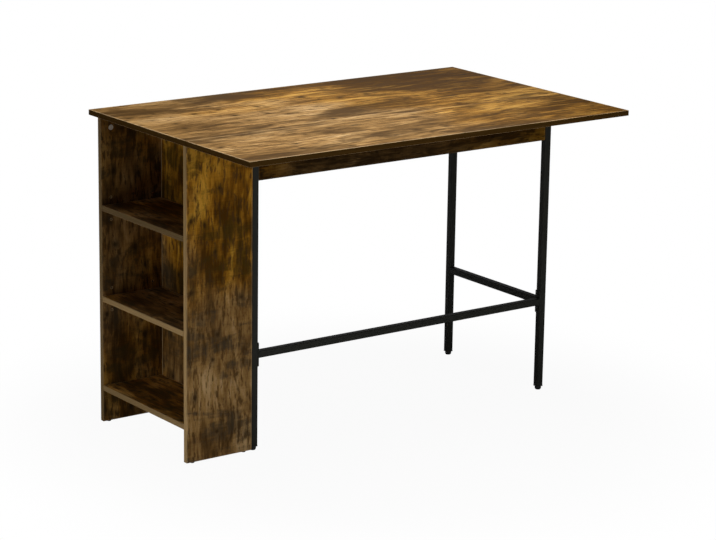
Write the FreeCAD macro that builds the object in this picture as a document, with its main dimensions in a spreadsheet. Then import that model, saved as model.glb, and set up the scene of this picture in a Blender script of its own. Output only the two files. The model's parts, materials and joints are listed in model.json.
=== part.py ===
import FreeCAD
import Part
import Sketcher
import math
import os

# Folding bar table: a fixed top and a drop leaf on a shelf unit and a square tube frame.
# Millimetres. X runs along the table, from the shelf unit's open side to the far legs.
# The leaf is on the -Y side, Z is up, and the origin is on the floor under the middle.

# Driving sizes: name, value, what it is
SIZES = (
    ("table_length", 1270, "length of the fixed top and of the leaf"),
    ("fixed_depth", 500, "depth of the fixed top"),
    ("leaf_depth", 299, "depth of the drop leaf"),
    ("seam_gap", 1, "gap between the fixed top and the leaf"),
    ("table_height", 900, "height of the top surface"),
    ("top_thickness", 15, "thickness of the fixed top and of the leaf"),
    ("board_arris", 0.6, "chamfer on every board edge"),
    ("rear_overhang", 15, "fixed top beyond the frame at the rear"),
    ("seam_setback", 30, "front of the frame and of the shelf unit behind the seam"),
    ("open_end_overhang", 20, "top beyond the shelf unit's open side"),
    ("tube_side", 20, "outer side of the square tube"),
    ("tube_wall", 1.5, "wall of the square tube"),
    ("tube_corner", 2, "outer corner radius of the square tube"),
    ("rail_height", 262, "underside of the low rails above the floor"),
    ("unit_depth", 210, "depth of the shelf unit along the table"),
    ("panel_thickness", 15, "thickness of the side and back panels"),
    ("shelf_thickness", 15, "thickness of the shelves"),
    ("bottom_shelf_height", 110, "top face of the bottom shelf above the floor"),
    ("shelf_pitch", 261, "height from one shelf to the next"),
    ("shelf_play", 1, "gap round a loose shelf"),
    ("pin_front_setback", 31, "front shelf pins from the open side"),
    ("pin_rear_setback", 30, "rear shelf pins from the back panel"),
    ("pin_step", 32, "height from one pin hole to the next"),
    ("pin_rise", 3, "pin centre above the underside of its shelf"),
    ("pin_radius", 2.5, "shelf pin"),
    ("pin_depth", 8, "shelf pin inside the side panel"),
    ("pin_reach", 8, "shelf pin outside the side panel"),
    ("pin_collar_radius", 3.6, "collar of a shelf pin"),
    ("pin_collar", 0.8, "thickness of a shelf pin's collar"),
    ("fit_clearance", 0.1, "clearance round a fixed fastener"),
    ("drill_extra", 1, "how much deeper a hole is than its fastener"),
    ("apron_height", 127, "height of the wooden aprons"),
    ("apron_thickness", 15, "thickness of the wooden aprons"),
    ("tab_thickness", 2.5, "steel tab that carries an apron"),
    ("tab_width", 40, "tab along the apron"),
    ("tab_height", 80, "height of a tab"),
    ("tab_drop", 20, "top of a tab below the underside of the top"),
    ("tab_screw_spacing", 50, "height between a tab's two screws"),
    ("plate_thickness", 3, "end plate of the foot rail"),
    ("plate_height", 68, "height of an end plate"),
    ("plate_corner", 3, "corner radius of an end plate"),
    ("plate_bolt_spacing", 50, "height between the two bolts of an end plate"),
    ("bolt_radius", 3, "machine bolt"),
    ("bolt_length", 14, "machine bolt under its head"),
    ("bolt_head_radius", 5.2, "head of a machine bolt"),
    ("bolt_head", 3, "height of a machine bolt's head"),
    ("bolt_socket_radius", 2, "hexagon socket of a machine bolt, across corners by two"),
    ("bolt_socket", 2, "depth of the hexagon socket"),
    ("foot_height", 10, "round glide under a leg"),
    ("foot_radius", 9.5, "round glide at its top"),
    ("foot_sole_radius", 7.5, "round glide where it meets the floor"),
    ("foot_taper", 3.5, "height over which the glide narrows"),
    ("foot_collar", 2, "square collar under the tube's end"),
    ("plug_depth", 16, "ribbed plug inside the tube"),
    ("glide_height", 3, "nail glide under a side panel"),
    ("glide_radius", 7, "nail glide"),
    ("glide_setback", 22, "nail glide from the panel's vertical edge"),
    ("nail_radius", 1.2, "nail of a glide"),
    ("nail_length", 16, "nail of a glide"),
    ("wood_screw_radius", 2, "wood screw"),
    ("wood_screw_length", 13, "short wood screw under its head"),
    ("long_screw_length", 45, "long wood screw under its head"),
    ("wood_screw_tip", 3, "point of a wood screw"),
    ("wood_screw_head_radius", 3.8, "pan head of a wood screw"),
    ("wood_screw_head", 2.2, "height of a pan head"),
    ("top_screw_setback", 60, "screws of a top rail from its ends"),
    ("screw_cover", 3, "wood left over the point of a top rail's screw"),
    ("angle_side", 25, "side of an angle between apron and top"),
    ("angle_width", 20, "width of an angle"),
    ("angle_thickness", 2, "thickness of an angle"),
    ("angle_setback", 260, "angles from the ends of an apron"),
    ("angle_screw_out", 15, "screws of an angle from its corner"),
    ("cam_radius", 7.5, "cam lock"),
    ("cam_depth", 12, "cam lock in the board"),
    ("cam_reach", 36, "cam centre from the joint"),
    ("cam_cross", 6, "length of the driver cross in a cam"),
    ("cam_cross_width", 1.4, "width of the driver cross"),
    ("cam_bolt_radius", 3, "cam bolt"),
    ("cam_bolt_grip", 10, "cam bolt inside the other board"),
    ("cam_bolt_neck", 2.5, "cam bolt end from the cam centre"),
    ("cam_bore_radius", 3.6, "bore for a cam bolt"),
    ("cam_end_inset", 33, "outer cams from the ends of their joint"),
    ("dowel_radius", 4, "wooden dowel"),
    ("dowel_length", 30, "wooden dowel"),
    ("dowel_in_panel", 10, "wooden dowel inside the side panel"),
    ("dowel_inset", 75, "dowels from the ends of their joint"),
    ("hinge_setback", 135, "middle of an outer hinge from the end of the table"),
    ("hinge_length", 60, "leaf hinge along the seam"),
    ("hinge_reach", 26, "plate of a hinge from its axis"),
    ("hinge_plate", 1.5, "thickness of a hinge plate"),
    ("hinge_corner", 4, "corner radius of a hinge plate"),
    ("knuckle_radius", 3, "knuckle of a hinge"),
    ("knuckle_play", 0.3, "play between two knuckles"),
    ("hinge_pin_radius", 1.5, "pin of a hinge"),
    ("pin_running_clearance", 0.05, "running clearance round a pivot"),
    ("hinge_screw_radius", 1.7, "screw of a hinge"),
    ("hinge_screw_length", 11, "screw of a hinge under the plate's face"),
    ("hinge_screw_head_radius", 3.2, "countersunk head of a hinge screw"),
    ("hinge_screw_head", 1.4, "depth of a countersunk head"),
    ("hinge_screw_out", 16, "screws of a hinge from its axis"),
    ("hinge_screw_offset", 20, "screws of a hinge from its middle"),
    ("stay_setback", 170, "folding stays from the ends of the front apron"),
    ("steel_plate", 2.5, "pressed steel of the stays"),
    ("pivot_out", 8, "stay pivot behind the leaf's hinge axis"),
    ("pivot_drop", 47, "stay pivot below the leaf's hinge axis"),
    ("guide_drop", 9, "guide bolt below the hinge axis with the leaf up"),
    ("brace_length", 150, "brace from pivot to guide bolt"),
    ("brace_width", 14, "width of a brace"),
    ("brace_thickness", 4, "thickness of a brace"),
    ("brace_hole_radius", 2.5, "lightening hole of a brace"),
    ("stay_gap", 0.5, "gap between a brace and the plates beside it"),
    ("stay_pin_radius", 3, "pivot rivet and guide bolt of a stay"),
    ("rivet_head_radius", 5.5, "head of a pivot rivet"),
    ("rivet_head", 2, "height of a pivot rivet's head"),
    ("rivet_play", 0.2, "play under the head of a pivot rivet"),
    ("slot_play", 0.35, "clearance round the guide bolt in its slot"),
    ("ear_radius", 8.5, "round end of the ear at the pivot"),
    ("ear_corner", 8.3, "corner radius of the ear"),
    ("foot_plate_rise", 37, "top of the stay's wall plate above the pivot"),
    ("wall_plate_width", 19, "width of the stay's wall plate"),
    ("wall_screw_out", 11, "wall plate screws from the ear"),
    ("wall_screw_low", 5, "lower wall plate screw above the pivot"),
    ("wall_screw_high", 27, "upper wall plate screw above the pivot"),
    ("flange_end", 22, "arm flange beyond the ends of the slot"),
    ("flange_margin", 5, "steel below the slot in the arm flange"),
    ("flange_nose", 12, "depth of the arm flange at its ends"),
    ("flange_slope", 38, "run over which the flange gets its full depth"),
    ("flange_corner", 5, "corner radius of the arm flange"),
    ("arm_plate_width", 22, "width of the arm's plate under the leaf"),
    ("arm_plate_start", 40, "arm's plate from the hinge axis"),
    ("arm_screw_out", 14, "arm screws from the flange"),
    ("arm_screw_end", 12, "outer arm screws from the ends of the plate"),
    ("thumb_nut_radius", 8, "thumb nut"),
    ("thumb_nut_height", 6, "grip of a thumb nut"),
    ("thumb_nut_boss", 2, "boss of a thumb nut against the flange"),
    ("thumb_nut_boss_radius", 5, "boss of a thumb nut"),
    ("thumb_nut_gap", 0.3, "gap between thumb nut and flange"),
    ("thumb_nut_flute", 1, "flute in a thumb nut's grip"),
    ("guide_bolt_end", 1.5, "guide bolt beyond the thumb nut"),
    ("guide_head_radius", 5.5, "head of a guide bolt"),
    ("guide_head", 3, "height of a guide bolt's head"),
    ("overrun", 2, "how far a cut runs past a face"),
)

# Counts and shares that go with the sizes
HINGE_PLACES = (-1, 0, 1)
KNUCKLES = 5
FLUTES = 12
SLOT_STEPS = 12
FOLD_ANGLE = 90
SCREW_HEIGHT_SHARES = (0.17, 0.51, 0.8)
PANEL_CAM_SHARES = (0.26, 0.8)
PANEL_DOWEL_SHARES = (0.14, 0.53, 0.9)
HEAD_CROWN_SHARE = 0.6
LIGHTENING_SHARES = (0.3, 0.5, 0.7)


class Size:
    """A length that keeps its number and the expression that gives it in the document."""

    def __init__(self, value, text):
        self.value = float(value)
        self.text = text

    def __add__(self, other):
        return Size(self.value + number(other), "(%s + %s)" % (self.text, wording(other)))

    def __sub__(self, other):
        return Size(self.value - number(other), "(%s - %s)" % (self.text, wording(other)))

    def __mul__(self, other):
        return Size(self.value * number(other), "(%s * %s)" % (self.text, wording(other)))

    def __truediv__(self, other):
        return Size(self.value / number(other), "(%s / %s)" % (self.text, wording(other)))

    def __neg__(self):
        return Size(-self.value, "(0 - %s)" % self.text)

    __radd__ = __add__
    __rmul__ = __mul__


def number(item):
    return item.value if isinstance(item, Size) else float(item)


def wording(item):
    return item.text if isinstance(item, Size) else repr(float(item))


def from_sheet(alias):
    return float(sheet.get(alias))


def root(item):
    return Size(math.sqrt(number(item)), "sqrt(%s)" % wording(item))


def arc_cosine(item):
    """An angle in degrees from its cosine."""
    return Size(math.degrees(math.acos(number(item))), "acos(%s)" % wording(item))


class Names:
    """The driving sizes by name."""


doc = FreeCAD.newDocument("FoldingBarTable")
sheet = doc.addObject("Spreadsheet::Sheet", "Sizes")
size = Names()
for row, (alias, value, meaning) in enumerate(SIZES, start=1):
    sheet.set("A%d" % row, alias)
    sheet.set("B%d" % row, repr(value))
    sheet.set("C%d" % row, meaning)
    sheet.setAlias("B%d" % row, alias)
    setattr(size, alias, Size(value, "Sizes.%s" % alias))
doc.recompute()

X_AXIS = FreeCAD.Vector(1, 0, 0)
Y_AXIS = FreeCAD.Vector(0, 1, 0)
Z_AXIS = FreeCAD.Vector(0, 0, 1)
nodes = []


# Helpers for documents, sketches and features

def bind(item, path, amount):
    item.setExpression(path, wording(amount))


def place(item, x, y, z):
    for axis, amount in zip("xyz", (x, y, z)):
        bind(item, "Placement.Base.%s" % axis, amount)


def facing(z_way, x_way):
    """The rotation that turns local +Z to z_way and local +X to x_way."""
    return FreeCAD.Rotation(x_way, z_way.cross(x_way), z_way, "ZXY")


def finished(item, label):
    """Give an object its sub-part's name and note it for export."""
    item.Label = label
    nodes.append(item)
    return item


def new_body(label, x=0, y=0, z=0):
    body = doc.addObject("PartDesign::Body", label)
    body.Label = label
    place(body, x, y, z)
    return body


def new_sketch(body, role, offset=0):
    sketch = body.newObject("Sketcher::SketchObject", "outline")
    plane = [item for item in body.Origin.OriginFeatures if item.Role == role][0]
    sketch.AttachmentSupport = (plane, "")
    sketch.MapMode = "FlatFace"
    bind(sketch, "AttachmentOffset.Base.z", offset)
    return sketch


def hold(sketch, kind, places, amount):
    """Add a dimension to a sketch and bind it."""
    index = sketch.addConstraint(Sketcher.Constraint(kind, *places, number(amount)))
    sketch.setExpression("Constraints[%d]" % index, wording(amount))


def draw_outline(sketch, points):
    """A closed outline of straight lines through points, each held by its two distances."""
    first = sketch.GeometryCount
    count = len(points)
    spots = [FreeCAD.Vector(number(x), number(y), 0) for x, y in points]
    for index in range(count):
        sketch.addGeometry(Part.LineSegment(spots[index], spots[(index + 1) % count]), False)
    for index in range(count):
        following = first + (index + 1) % count
        sketch.addConstraint(Sketcher.Constraint("Coincident", first + index, 2, following, 1))
    for index, (x, y) in enumerate(points):
        hold(sketch, "DistanceX", (-1, 1, first + index, 1), x)
        hold(sketch, "DistanceY", (-1, 1, first + index, 1), y)


def draw_rectangle(sketch, x, y, width, height):
    draw_outline(sketch, ((x, y), (x + width, y), (x + width, y + height), (x, y + height)))


def draw_circle(sketch, x, y, radius):
    index = sketch.GeometryCount
    centre = FreeCAD.Vector(number(x), number(y), 0)
    sketch.addGeometry(Part.Circle(centre, Z_AXIS, number(radius)), False)
    hold(sketch, "Radius", (index,), radius)
    hold(sketch, "DistanceX", (-1, 1, index, 3), x)
    hold(sketch, "DistanceY", (-1, 1, index, 3), y)


def pad(body, sketch, length, backwards=False):
    feature = body.newObject("PartDesign::Pad", "pad")
    feature.Profile = sketch
    feature.Reversed = backwards
    bind(feature, "Length", length)
    sketch.Visibility = False
    return feature


def pocket(body, sketch, length, backwards=False):
    feature = body.newObject("PartDesign::Pocket", "pocket")
    feature.Profile = sketch
    feature.Reversed = backwards
    bind(feature, "Length", length)
    return feature


def revolve(body, points):
    """Turn a profile of (radius, height) points about the local Z axis."""
    sketch = new_sketch(body, "XZ_Plane")
    draw_outline(sketch, points)
    feature = body.newObject("PartDesign::Revolution", "turned")
    feature.Profile = sketch
    feature.ReferenceAxis = (sketch, ["V_Axis"])
    return feature


def long_edges(shape, axis, outer_only=False):
    """Names of the straight edges along an axis, or only those at the outer corners."""
    names = []
    box = shape.BoundBox
    across = [way for way in (X_AXIS, Y_AXIS, Z_AXIS) if way != axis]
    limits = {0: (box.XMin, box.XMax), 1: (box.YMin, box.YMax), 2: (box.ZMin, box.ZMax)}
    for index, edge in enumerate(shape.Edges, start=1):
        if len(edge.Vertexes) < 2 or not isinstance(edge.Curve, Part.Line):
            continue
        if abs(abs(edge.Curve.Direction.dot(axis)) - 1) > Part.Precision.confusion():
            continue
        outer = True
        for way in across:
            spot = edge.Vertexes[0].Point.dot(way)
            ends = limits[(X_AXIS, Y_AXIS, Z_AXIS).index(way)]
            outer = outer and min(abs(spot - end) for end in ends) < Part.Precision.confusion()
        if outer or not outer_only:
            names.append("Edge%d" % index)
    return names


def round_edges(body, base, names, radius):
    feature = body.newObject("PartDesign::Fillet", "rounded")
    feature.Base = (base, names)
    bind(feature, "Radius", radius)
    return feature


def board(label, x, y, z, length, depth, height):
    """A wooden board with a small chamfer on every edge."""
    body = new_body(label, x, y, z)
    sketch = new_sketch(body, "XY_Plane")
    draw_rectangle(sketch, 0, 0, length, depth)
    base = pad(body, sketch, height)
    doc.recompute()
    feature = body.newObject("PartDesign::Chamfer", "arris")
    feature.Base = (base, ["Edge%d" % (index + 1) for index in range(len(base.Shape.Edges))])
    bind(feature, "Size", size.board_arris)
    return body


def square_tube(label, x, y, z, axis, length):
    """A length of square tube along one axis, from its lowest corner."""
    role, backwards = {"x": ("YZ_Plane", False), "y": ("XZ_Plane", True), "z": ("XY_Plane", False)}[axis]
    way = {"x": X_AXIS, "y": Y_AXIS, "z": Z_AXIS}[axis]
    body = new_body(label, x, y, z)
    sketch = new_sketch(body, role)
    draw_rectangle(sketch, 0, 0, size.tube_side, size.tube_side)
    bore = size.tube_side - size.tube_wall * 2
    draw_rectangle(sketch, size.tube_wall, size.tube_wall, bore, bore)
    base = pad(body, sketch, length, backwards)
    doc.recompute()
    round_edges(body, base, long_edges(base.Shape, way, True), size.tube_corner)
    return body


def copies(template, places):
    """Links to a template, one at each place: x, y, z and a rotation."""
    links = []
    for x, y, z, turn in places:
        link = doc.addObject("App::Link", "%s_copy" % template.Label)
        link.LinkedObject = template
        place(link, x, y, z)
        link.Placement.Rotation = turn
        links.append(link)
    return links


def group(label, template, places):
    """One sub-part of several like solids."""
    item = doc.addObject("Part::Compound", label)
    item.Links = copies(template, places)
    return finished(item, label)


def drilled(item, cuts):
    """Cut an object by copies of cutters: pairs of cutter and places."""
    tool = doc.addObject("Part::Compound", "%s_cutters" % item.Label)
    tool.Links = [link for template, places in cuts for link in copies(template, places)]
    result = doc.addObject("Part::Cut", "%s_drilled" % item.Label)
    result.Base = item
    result.Tool = tool
    return result


def finish_drilled(label, item, cuts):
    """Drill an object, hand its name to the result and note the result."""
    item.Label = "%s_blank" % label
    if item in nodes:
        nodes.remove(item)
    return finished(drilled(item, cuts), label)


# Levels and lines that the pieces share

half_length = size.table_length / 2
open_depth = size.fixed_depth + size.seam_gap + size.leaf_depth
rear_edge = open_depth / 2
seam_edge = rear_edge - size.fixed_depth
leaf_seam_edge = seam_edge - size.seam_gap
leaf_edge = leaf_seam_edge - size.leaf_depth
underside = size.table_height - size.top_thickness
frame_rear = rear_edge - size.rear_overhang
frame_front = seam_edge + size.seam_setback
frame_depth = frame_rear - frame_front
unit_open = size.open_end_overhang - half_length
unit_back = unit_open + size.unit_depth
back_face = unit_back - size.panel_thickness
inner_front = frame_front + size.panel_thickness
inner_rear = frame_rear - size.panel_thickness
inner_width = inner_rear - inner_front
apron_start = unit_back + size.tube_side
right_leg_x = half_length - size.tube_side
apron_length = right_leg_x - apron_start
leg_bottom = size.foot_height + size.foot_collar
leg_length = underside - leg_bottom
rear_leg_y = frame_rear - size.tube_side
rail_middle = size.rail_height + size.tube_side / 2
leg_middle_y = (frame_front + size.tube_side / 2, frame_rear - size.tube_side / 2)

UP = facing(Z_AXIS, X_AXIS)
DOWN = facing(-Z_AXIS, X_AXIS)
TO_PLUS_X = facing(X_AXIS, Y_AXIS)
TO_MINUS_X = facing(-X_AXIS, Y_AXIS)
TO_PLUS_Y = facing(Y_AXIS, X_AXIS)
TO_MINUS_Y = facing(-Y_AXIS, X_AXIS)


# Templates of the fasteners: local +Z points out of the surface, which is at local zero

def pan_screw(label, length, clearance):
    """A pan head wood screw, or with a clearance the hole that it needs."""
    body = new_body(label)
    radius = size.wood_screw_radius + clearance
    head = size.wood_screw_head
    top = (size.wood_screw_head_radius * HEAD_CROWN_SHARE, head)
    revolve(body, (
        (0, -length),
        (radius, size.wood_screw_tip - length),
        (radius, 0),
        (size.wood_screw_head_radius, 0),
        (size.wood_screw_head_radius, head * HEAD_CROWN_SHARE),
        top,
        (0, head),
    ))
    return body


def straight_cutter(label, radius, depth):
    """A round hole cutter that starts above the surface."""
    body = new_body(label)
    sketch = new_sketch(body, "XY_Plane", -depth)
    draw_circle(sketch, 0, 0, radius)
    pad(body, sketch, depth + size.overrun)
    return body


def pan_screw_cutter(label, length):
    return straight_cutter(label, size.wood_screw_radius + size.fit_clearance, length + size.drill_extra)


def countersunk_profile(clearance):
    radius = size.hinge_screw_radius + clearance
    head_radius = size.hinge_screw_head_radius + clearance
    length = size.hinge_screw_length
    return (
        (0, -length),
        (radius, size.wood_screw_tip - length),
        (radius, -size.hinge_screw_head),
        (head_radius, 0),
        (0, 0),
    )


short_screw = pan_screw("short_screw", size.wood_screw_length, 0)
short_hole = pan_screw_cutter("short_hole", size.wood_screw_length)
long_screw = pan_screw("long_screw", size.long_screw_length, 0)
long_hole = pan_screw_cutter("long_hole", size.long_screw_length)

hinge_screw = new_body("hinge_screw")
revolve(hinge_screw, countersunk_profile(0))
hinge_hole = new_body("hinge_hole")
revolve(hinge_hole, countersunk_profile(size.fit_clearance))

machine_bolt = new_body("machine_bolt")
revolve(machine_bolt, (
    (0, -size.bolt_length),
    (size.bolt_radius, -size.bolt_length),
    (size.bolt_radius, 0),
    (size.bolt_head_radius, 0),
    (size.bolt_head_radius, size.bolt_head * HEAD_CROWN_SHARE),
    (size.bolt_head_radius * HEAD_CROWN_SHARE, size.bolt_head),
    (0, size.bolt_head),
))
socket = new_sketch(machine_bolt, "XY_Plane", size.bolt_head)
socket_x = size.bolt_socket_radius / 2
socket_y = size.bolt_socket_radius * (math.sqrt(3) / 2)
draw_outline(socket, (
    (size.bolt_socket_radius, 0),
    (socket_x, socket_y),
    (-socket_x, socket_y),
    (-size.bolt_socket_radius, 0),
    (-socket_x, -socket_y),
    (socket_x, -socket_y),
))
pocket(machine_bolt, socket, size.bolt_socket)
bolt_hole = straight_cutter("bolt_hole", size.bolt_radius + size.fit_clearance, size.bolt_length)

cam_lock = new_body("cam_lock")
cam_face = new_sketch(cam_lock, "XY_Plane", -size.cam_depth)
draw_circle(cam_face, 0, 0, size.cam_radius)
pad(cam_lock, cam_face, size.cam_depth)
for length, width in ((size.cam_cross, size.cam_cross_width), (size.cam_cross_width, size.cam_cross)):
    slot = new_sketch(cam_lock, "XY_Plane")
    draw_rectangle(slot, -length / 2, -width / 2, length, width)
    pocket(cam_lock, slot, size.cam_cross_width)
cam_mouth = new_sketch(cam_lock, "YZ_Plane")
draw_circle(cam_mouth, 0, -size.panel_thickness / 2, size.cam_bolt_radius + size.fit_clearance)
pocket(cam_lock, cam_mouth, size.cam_radius + size.overrun, True)
cam_hole = straight_cutter(
    "cam_hole", size.cam_radius + size.fit_clearance, size.cam_depth + size.fit_clearance
)

cam_bolt_length = size.cam_reach - size.cam_bolt_neck + size.cam_bolt_grip
cam_bolt = new_body("cam_bolt")
cam_bolt_end = new_sketch(cam_bolt, "YZ_Plane", size.cam_bolt_neck)
draw_circle(cam_bolt_end, 0, -size.panel_thickness / 2, size.cam_bolt_radius)
pad(cam_bolt, cam_bolt_end, cam_bolt_length)
cam_bore = new_body("cam_bore")
cam_bore_end = new_sketch(cam_bore, "YZ_Plane")
draw_circle(cam_bore_end, 0, -size.panel_thickness / 2, size.cam_bore_radius)
pad(cam_bore, cam_bore_end, size.cam_reach + size.cam_bolt_grip + size.fit_clearance)

dowel = new_body("dowel")
dowel_end = new_sketch(dowel, "XY_Plane", -size.dowel_in_panel)
draw_circle(dowel_end, 0, 0, size.dowel_radius)
pad(dowel, dowel_end, size.dowel_length)
dowel_hole = new_body("dowel_hole")
dowel_hole_end = new_sketch(dowel_hole, "XY_Plane", -size.dowel_in_panel - size.drill_extra / 2)
draw_circle(dowel_hole_end, 0, 0, size.dowel_radius + size.fit_clearance)
pad(dowel_hole, dowel_hole_end, size.dowel_length + size.drill_extra)

shelf_pin = new_body("shelf_pin")
revolve(shelf_pin, (
    (0, -size.pin_depth),
    (size.pin_radius, -size.pin_depth),
    (size.pin_radius, 0),
    (size.pin_collar_radius, 0),
    (size.pin_collar_radius, size.pin_collar),
    (size.pin_radius, size.pin_collar),
    (size.pin_radius, size.pin_reach),
    (0, size.pin_reach),
))
pin_hole = straight_cutter(
    "pin_hole", size.pin_radius + size.fit_clearance, size.pin_depth + size.drill_extra
)

leg_foot = new_body("leg_foot")
revolve(leg_foot, (
    (0, 0),
    (size.foot_sole_radius, 0),
    (size.foot_radius, size.foot_taper),
    (size.foot_radius, size.foot_height),
    (0, size.foot_height),
))
collar = new_sketch(leg_foot, "XY_Plane", size.foot_height)
draw_rectangle(collar, -size.tube_side / 2, -size.tube_side / 2, size.tube_side, size.tube_side)
pad(leg_foot, collar, size.foot_collar)
plug_side = size.tube_side - size.tube_wall * 2 - size.fit_clearance * 2
plug = new_sketch(leg_foot, "XY_Plane", size.foot_height + size.foot_collar)
draw_rectangle(plug, -plug_side / 2, -plug_side / 2, plug_side, plug_side)
pad(leg_foot, plug, size.plug_depth)

panel_glide = new_body("panel_glide")
revolve(panel_glide, (
    (0, 0),
    (size.glide_radius - size.glide_height / 2, 0),
    (size.glide_radius, size.glide_height),
    (size.nail_radius, size.glide_height),
    (size.nail_radius, size.glide_height + size.nail_length),
    (0, size.glide_height + size.nail_length),
))
nail_hole = new_body("nail_hole")
nail_end = new_sketch(nail_hole, "XY_Plane")
draw_circle(nail_end, 0, 0, size.nail_radius + size.fit_clearance)
pad(nail_hole, nail_end, size.glide_height + size.nail_length + size.drill_extra)


# Places of the fasteners in the shelf unit

shelf_tops = [size.bottom_shelf_height + size.shelf_pitch * step for step in range(3)]
bottom_under = size.bottom_shelf_height - size.shelf_thickness
pin_lines = (unit_open + size.pin_front_setback, back_face - size.pin_rear_setback)
pin_heights = [top - size.shelf_thickness + size.pin_rise for top in shelf_tops[1:]]

# For each side panel: its inner face, the way that face looks and the outward way
panel_sides = {
    "front": (inner_front, TO_PLUS_Y, -Y_AXIS),
    "rear": (inner_rear, TO_MINUS_Y, Y_AXIS),
}
back_bottom = bottom_under
back_height = underside - back_bottom
back_cam_heights = [back_bottom + back_height * share for share in PANEL_CAM_SHARES]
back_dowel_heights = [back_bottom + back_height * share for share in PANEL_DOWEL_SHARES]
shelf_middle = bottom_under + size.shelf_thickness / 2
top_cam_lines = (unit_open + size.cam_end_inset, unit_back - size.cam_end_inset)
bottom_cam_lines = (unit_open + size.cam_end_inset, back_face - size.cam_end_inset)
bottom_dowel_lines = (unit_open + size.dowel_inset, back_face - size.dowel_inset)

pin_places = {}
pin_hole_places = {}
top_cams = {}
side_cams = {}
dowel_places = {}
for side, (face, turn, outward) in panel_sides.items():
    pin_places[side] = [(x, face, z, turn) for x in pin_lines for z in pin_heights]
    pin_hole_places[side] = [
        (x, face, z + size.pin_step * step, turn)
        for x in pin_lines for z in pin_heights for step in (-1, 0, 1)
    ]
    # Cams in the side panels pull the fixed top down
    top_turn = facing(-outward, Z_AXIS)
    top_cams[side] = [(x, face, underside - size.cam_reach, top_turn) for x in top_cam_lines]
    # Cams in the rear of the back panel and under the bottom shelf pull the side panels in
    spot = face + size.cam_reach * -outward.y
    side_cams[side] = [(unit_back, spot, z, facing(X_AXIS, outward)) for z in back_cam_heights]
    side_cams[side] += [(x, spot, bottom_under, facing(-Z_AXIS, outward)) for x in bottom_cam_lines]
    dowel_places[side] = [
        (unit_back - size.panel_thickness / 2, face, z, turn) for z in back_dowel_heights
    ]
    dowel_places[side] += [(x, face, shelf_middle, turn) for x in bottom_dowel_lines]


def both_sides(places):
    return places["front"] + places["rear"]


panel_screw_heights = [underside * share for share in SCREW_HEIGHT_SHARES]
panel_middles = (frame_front + size.panel_thickness / 2, frame_rear - size.panel_thickness / 2)
panel_screws = [
    (apron_start, y, z, TO_PLUS_X) for y in panel_middles for z in panel_screw_heights
]
glide_places = [
    (x, y, 0, UP)
    for x in (unit_open + size.glide_setback, unit_back - size.glide_setback)
    for y in panel_middles
]


# The shelf unit

panel_height = underside - size.glide_height


def side_panel(label, y, side):
    """A side panel with its pin holes, cam recesses, dowel holes and pilot holes."""
    blank = board(
        label, unit_open, y, size.glide_height, size.unit_depth, size.panel_thickness, panel_height
    )
    return finish_drilled(label, blank, (
        (pin_hole, pin_hole_places[side]),
        (cam_hole, top_cams[side]),
        (cam_bore, top_cams[side]),
        (cam_bore, side_cams[side]),
        (dowel_hole, dowel_places[side]),
        (long_hole, panel_screws),
        (nail_hole, glide_places),
    ))


side_panel("front_side_panel", frame_front, "front")
side_panel("rear_side_panel", inner_rear, "rear")

back_blank = board(
    "shelf_back_panel", back_face, inner_front, back_bottom, size.panel_thickness, inner_width, back_height
)
finish_drilled("shelf_back_panel", back_blank, (
    (cam_hole, both_sides(side_cams)),
    (cam_bore, both_sides(side_cams)),
    (dowel_hole, both_sides(dowel_places)),
))

fixed_shelf_depth = size.unit_depth - size.panel_thickness
bottom_blank = board(
    "bottom_shelf", unit_open, inner_front, bottom_under,
    fixed_shelf_depth, inner_width, size.shelf_thickness,
)
finish_drilled("bottom_shelf", bottom_blank, (
    (cam_hole, both_sides(side_cams)),
    (cam_bore, both_sides(side_cams)),
    (dowel_hole, both_sides(dowel_places)),
))

# A loose shelf has a round-topped notch over each pin, open below
notch_radius = size.pin_radius + size.fit_clearance
notch_length = size.pin_reach + size.drill_extra
pin_notch = new_body("pin_notch")
notch_end = new_sketch(pin_notch, "XZ_Plane", -notch_length)
draw_circle(notch_end, 0, 0, notch_radius)
pad(pin_notch, notch_end, notch_length + size.overrun)
notch_slot = new_sketch(pin_notch, "XZ_Plane", -notch_length)
slot_depth = size.pin_rise + size.overrun
draw_rectangle(notch_slot, -notch_radius, -slot_depth, notch_radius * 2, slot_depth)
pad(pin_notch, notch_slot, notch_length + size.overrun)


def loose_shelf(label, top):
    """An adjustable shelf that sits on four pins."""
    low = top - size.shelf_thickness
    play = size.shelf_play
    blank = board(
        label, unit_open, inner_front + play, low,
        fixed_shelf_depth - play, inner_width - play * 2, size.shelf_thickness,
    )
    spots = []
    for face, turn in ((inner_front, UP), (inner_rear, facing(Z_AXIS, -X_AXIS))):
        spots += [(x, face, low + size.pin_rise, turn) for x in pin_lines]
    return finish_drilled(label, blank, ((pin_notch, spots),))


loose_shelf("middle_shelf", shelf_tops[1])
loose_shelf("upper_shelf", shelf_tops[2])
group("shelf_pins", shelf_pin, both_sides(pin_places))
group("cam_locks", cam_lock, both_sides(top_cams) + both_sides(side_cams))
group("cam_bolts", cam_bolt, both_sides(top_cams) + both_sides(side_cams))
group("dowels", dowel, both_sides(dowel_places))
group("panel_glides", panel_glide, glide_places)


# The two leg frames, each with two legs, a low rail and a top rail

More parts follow.
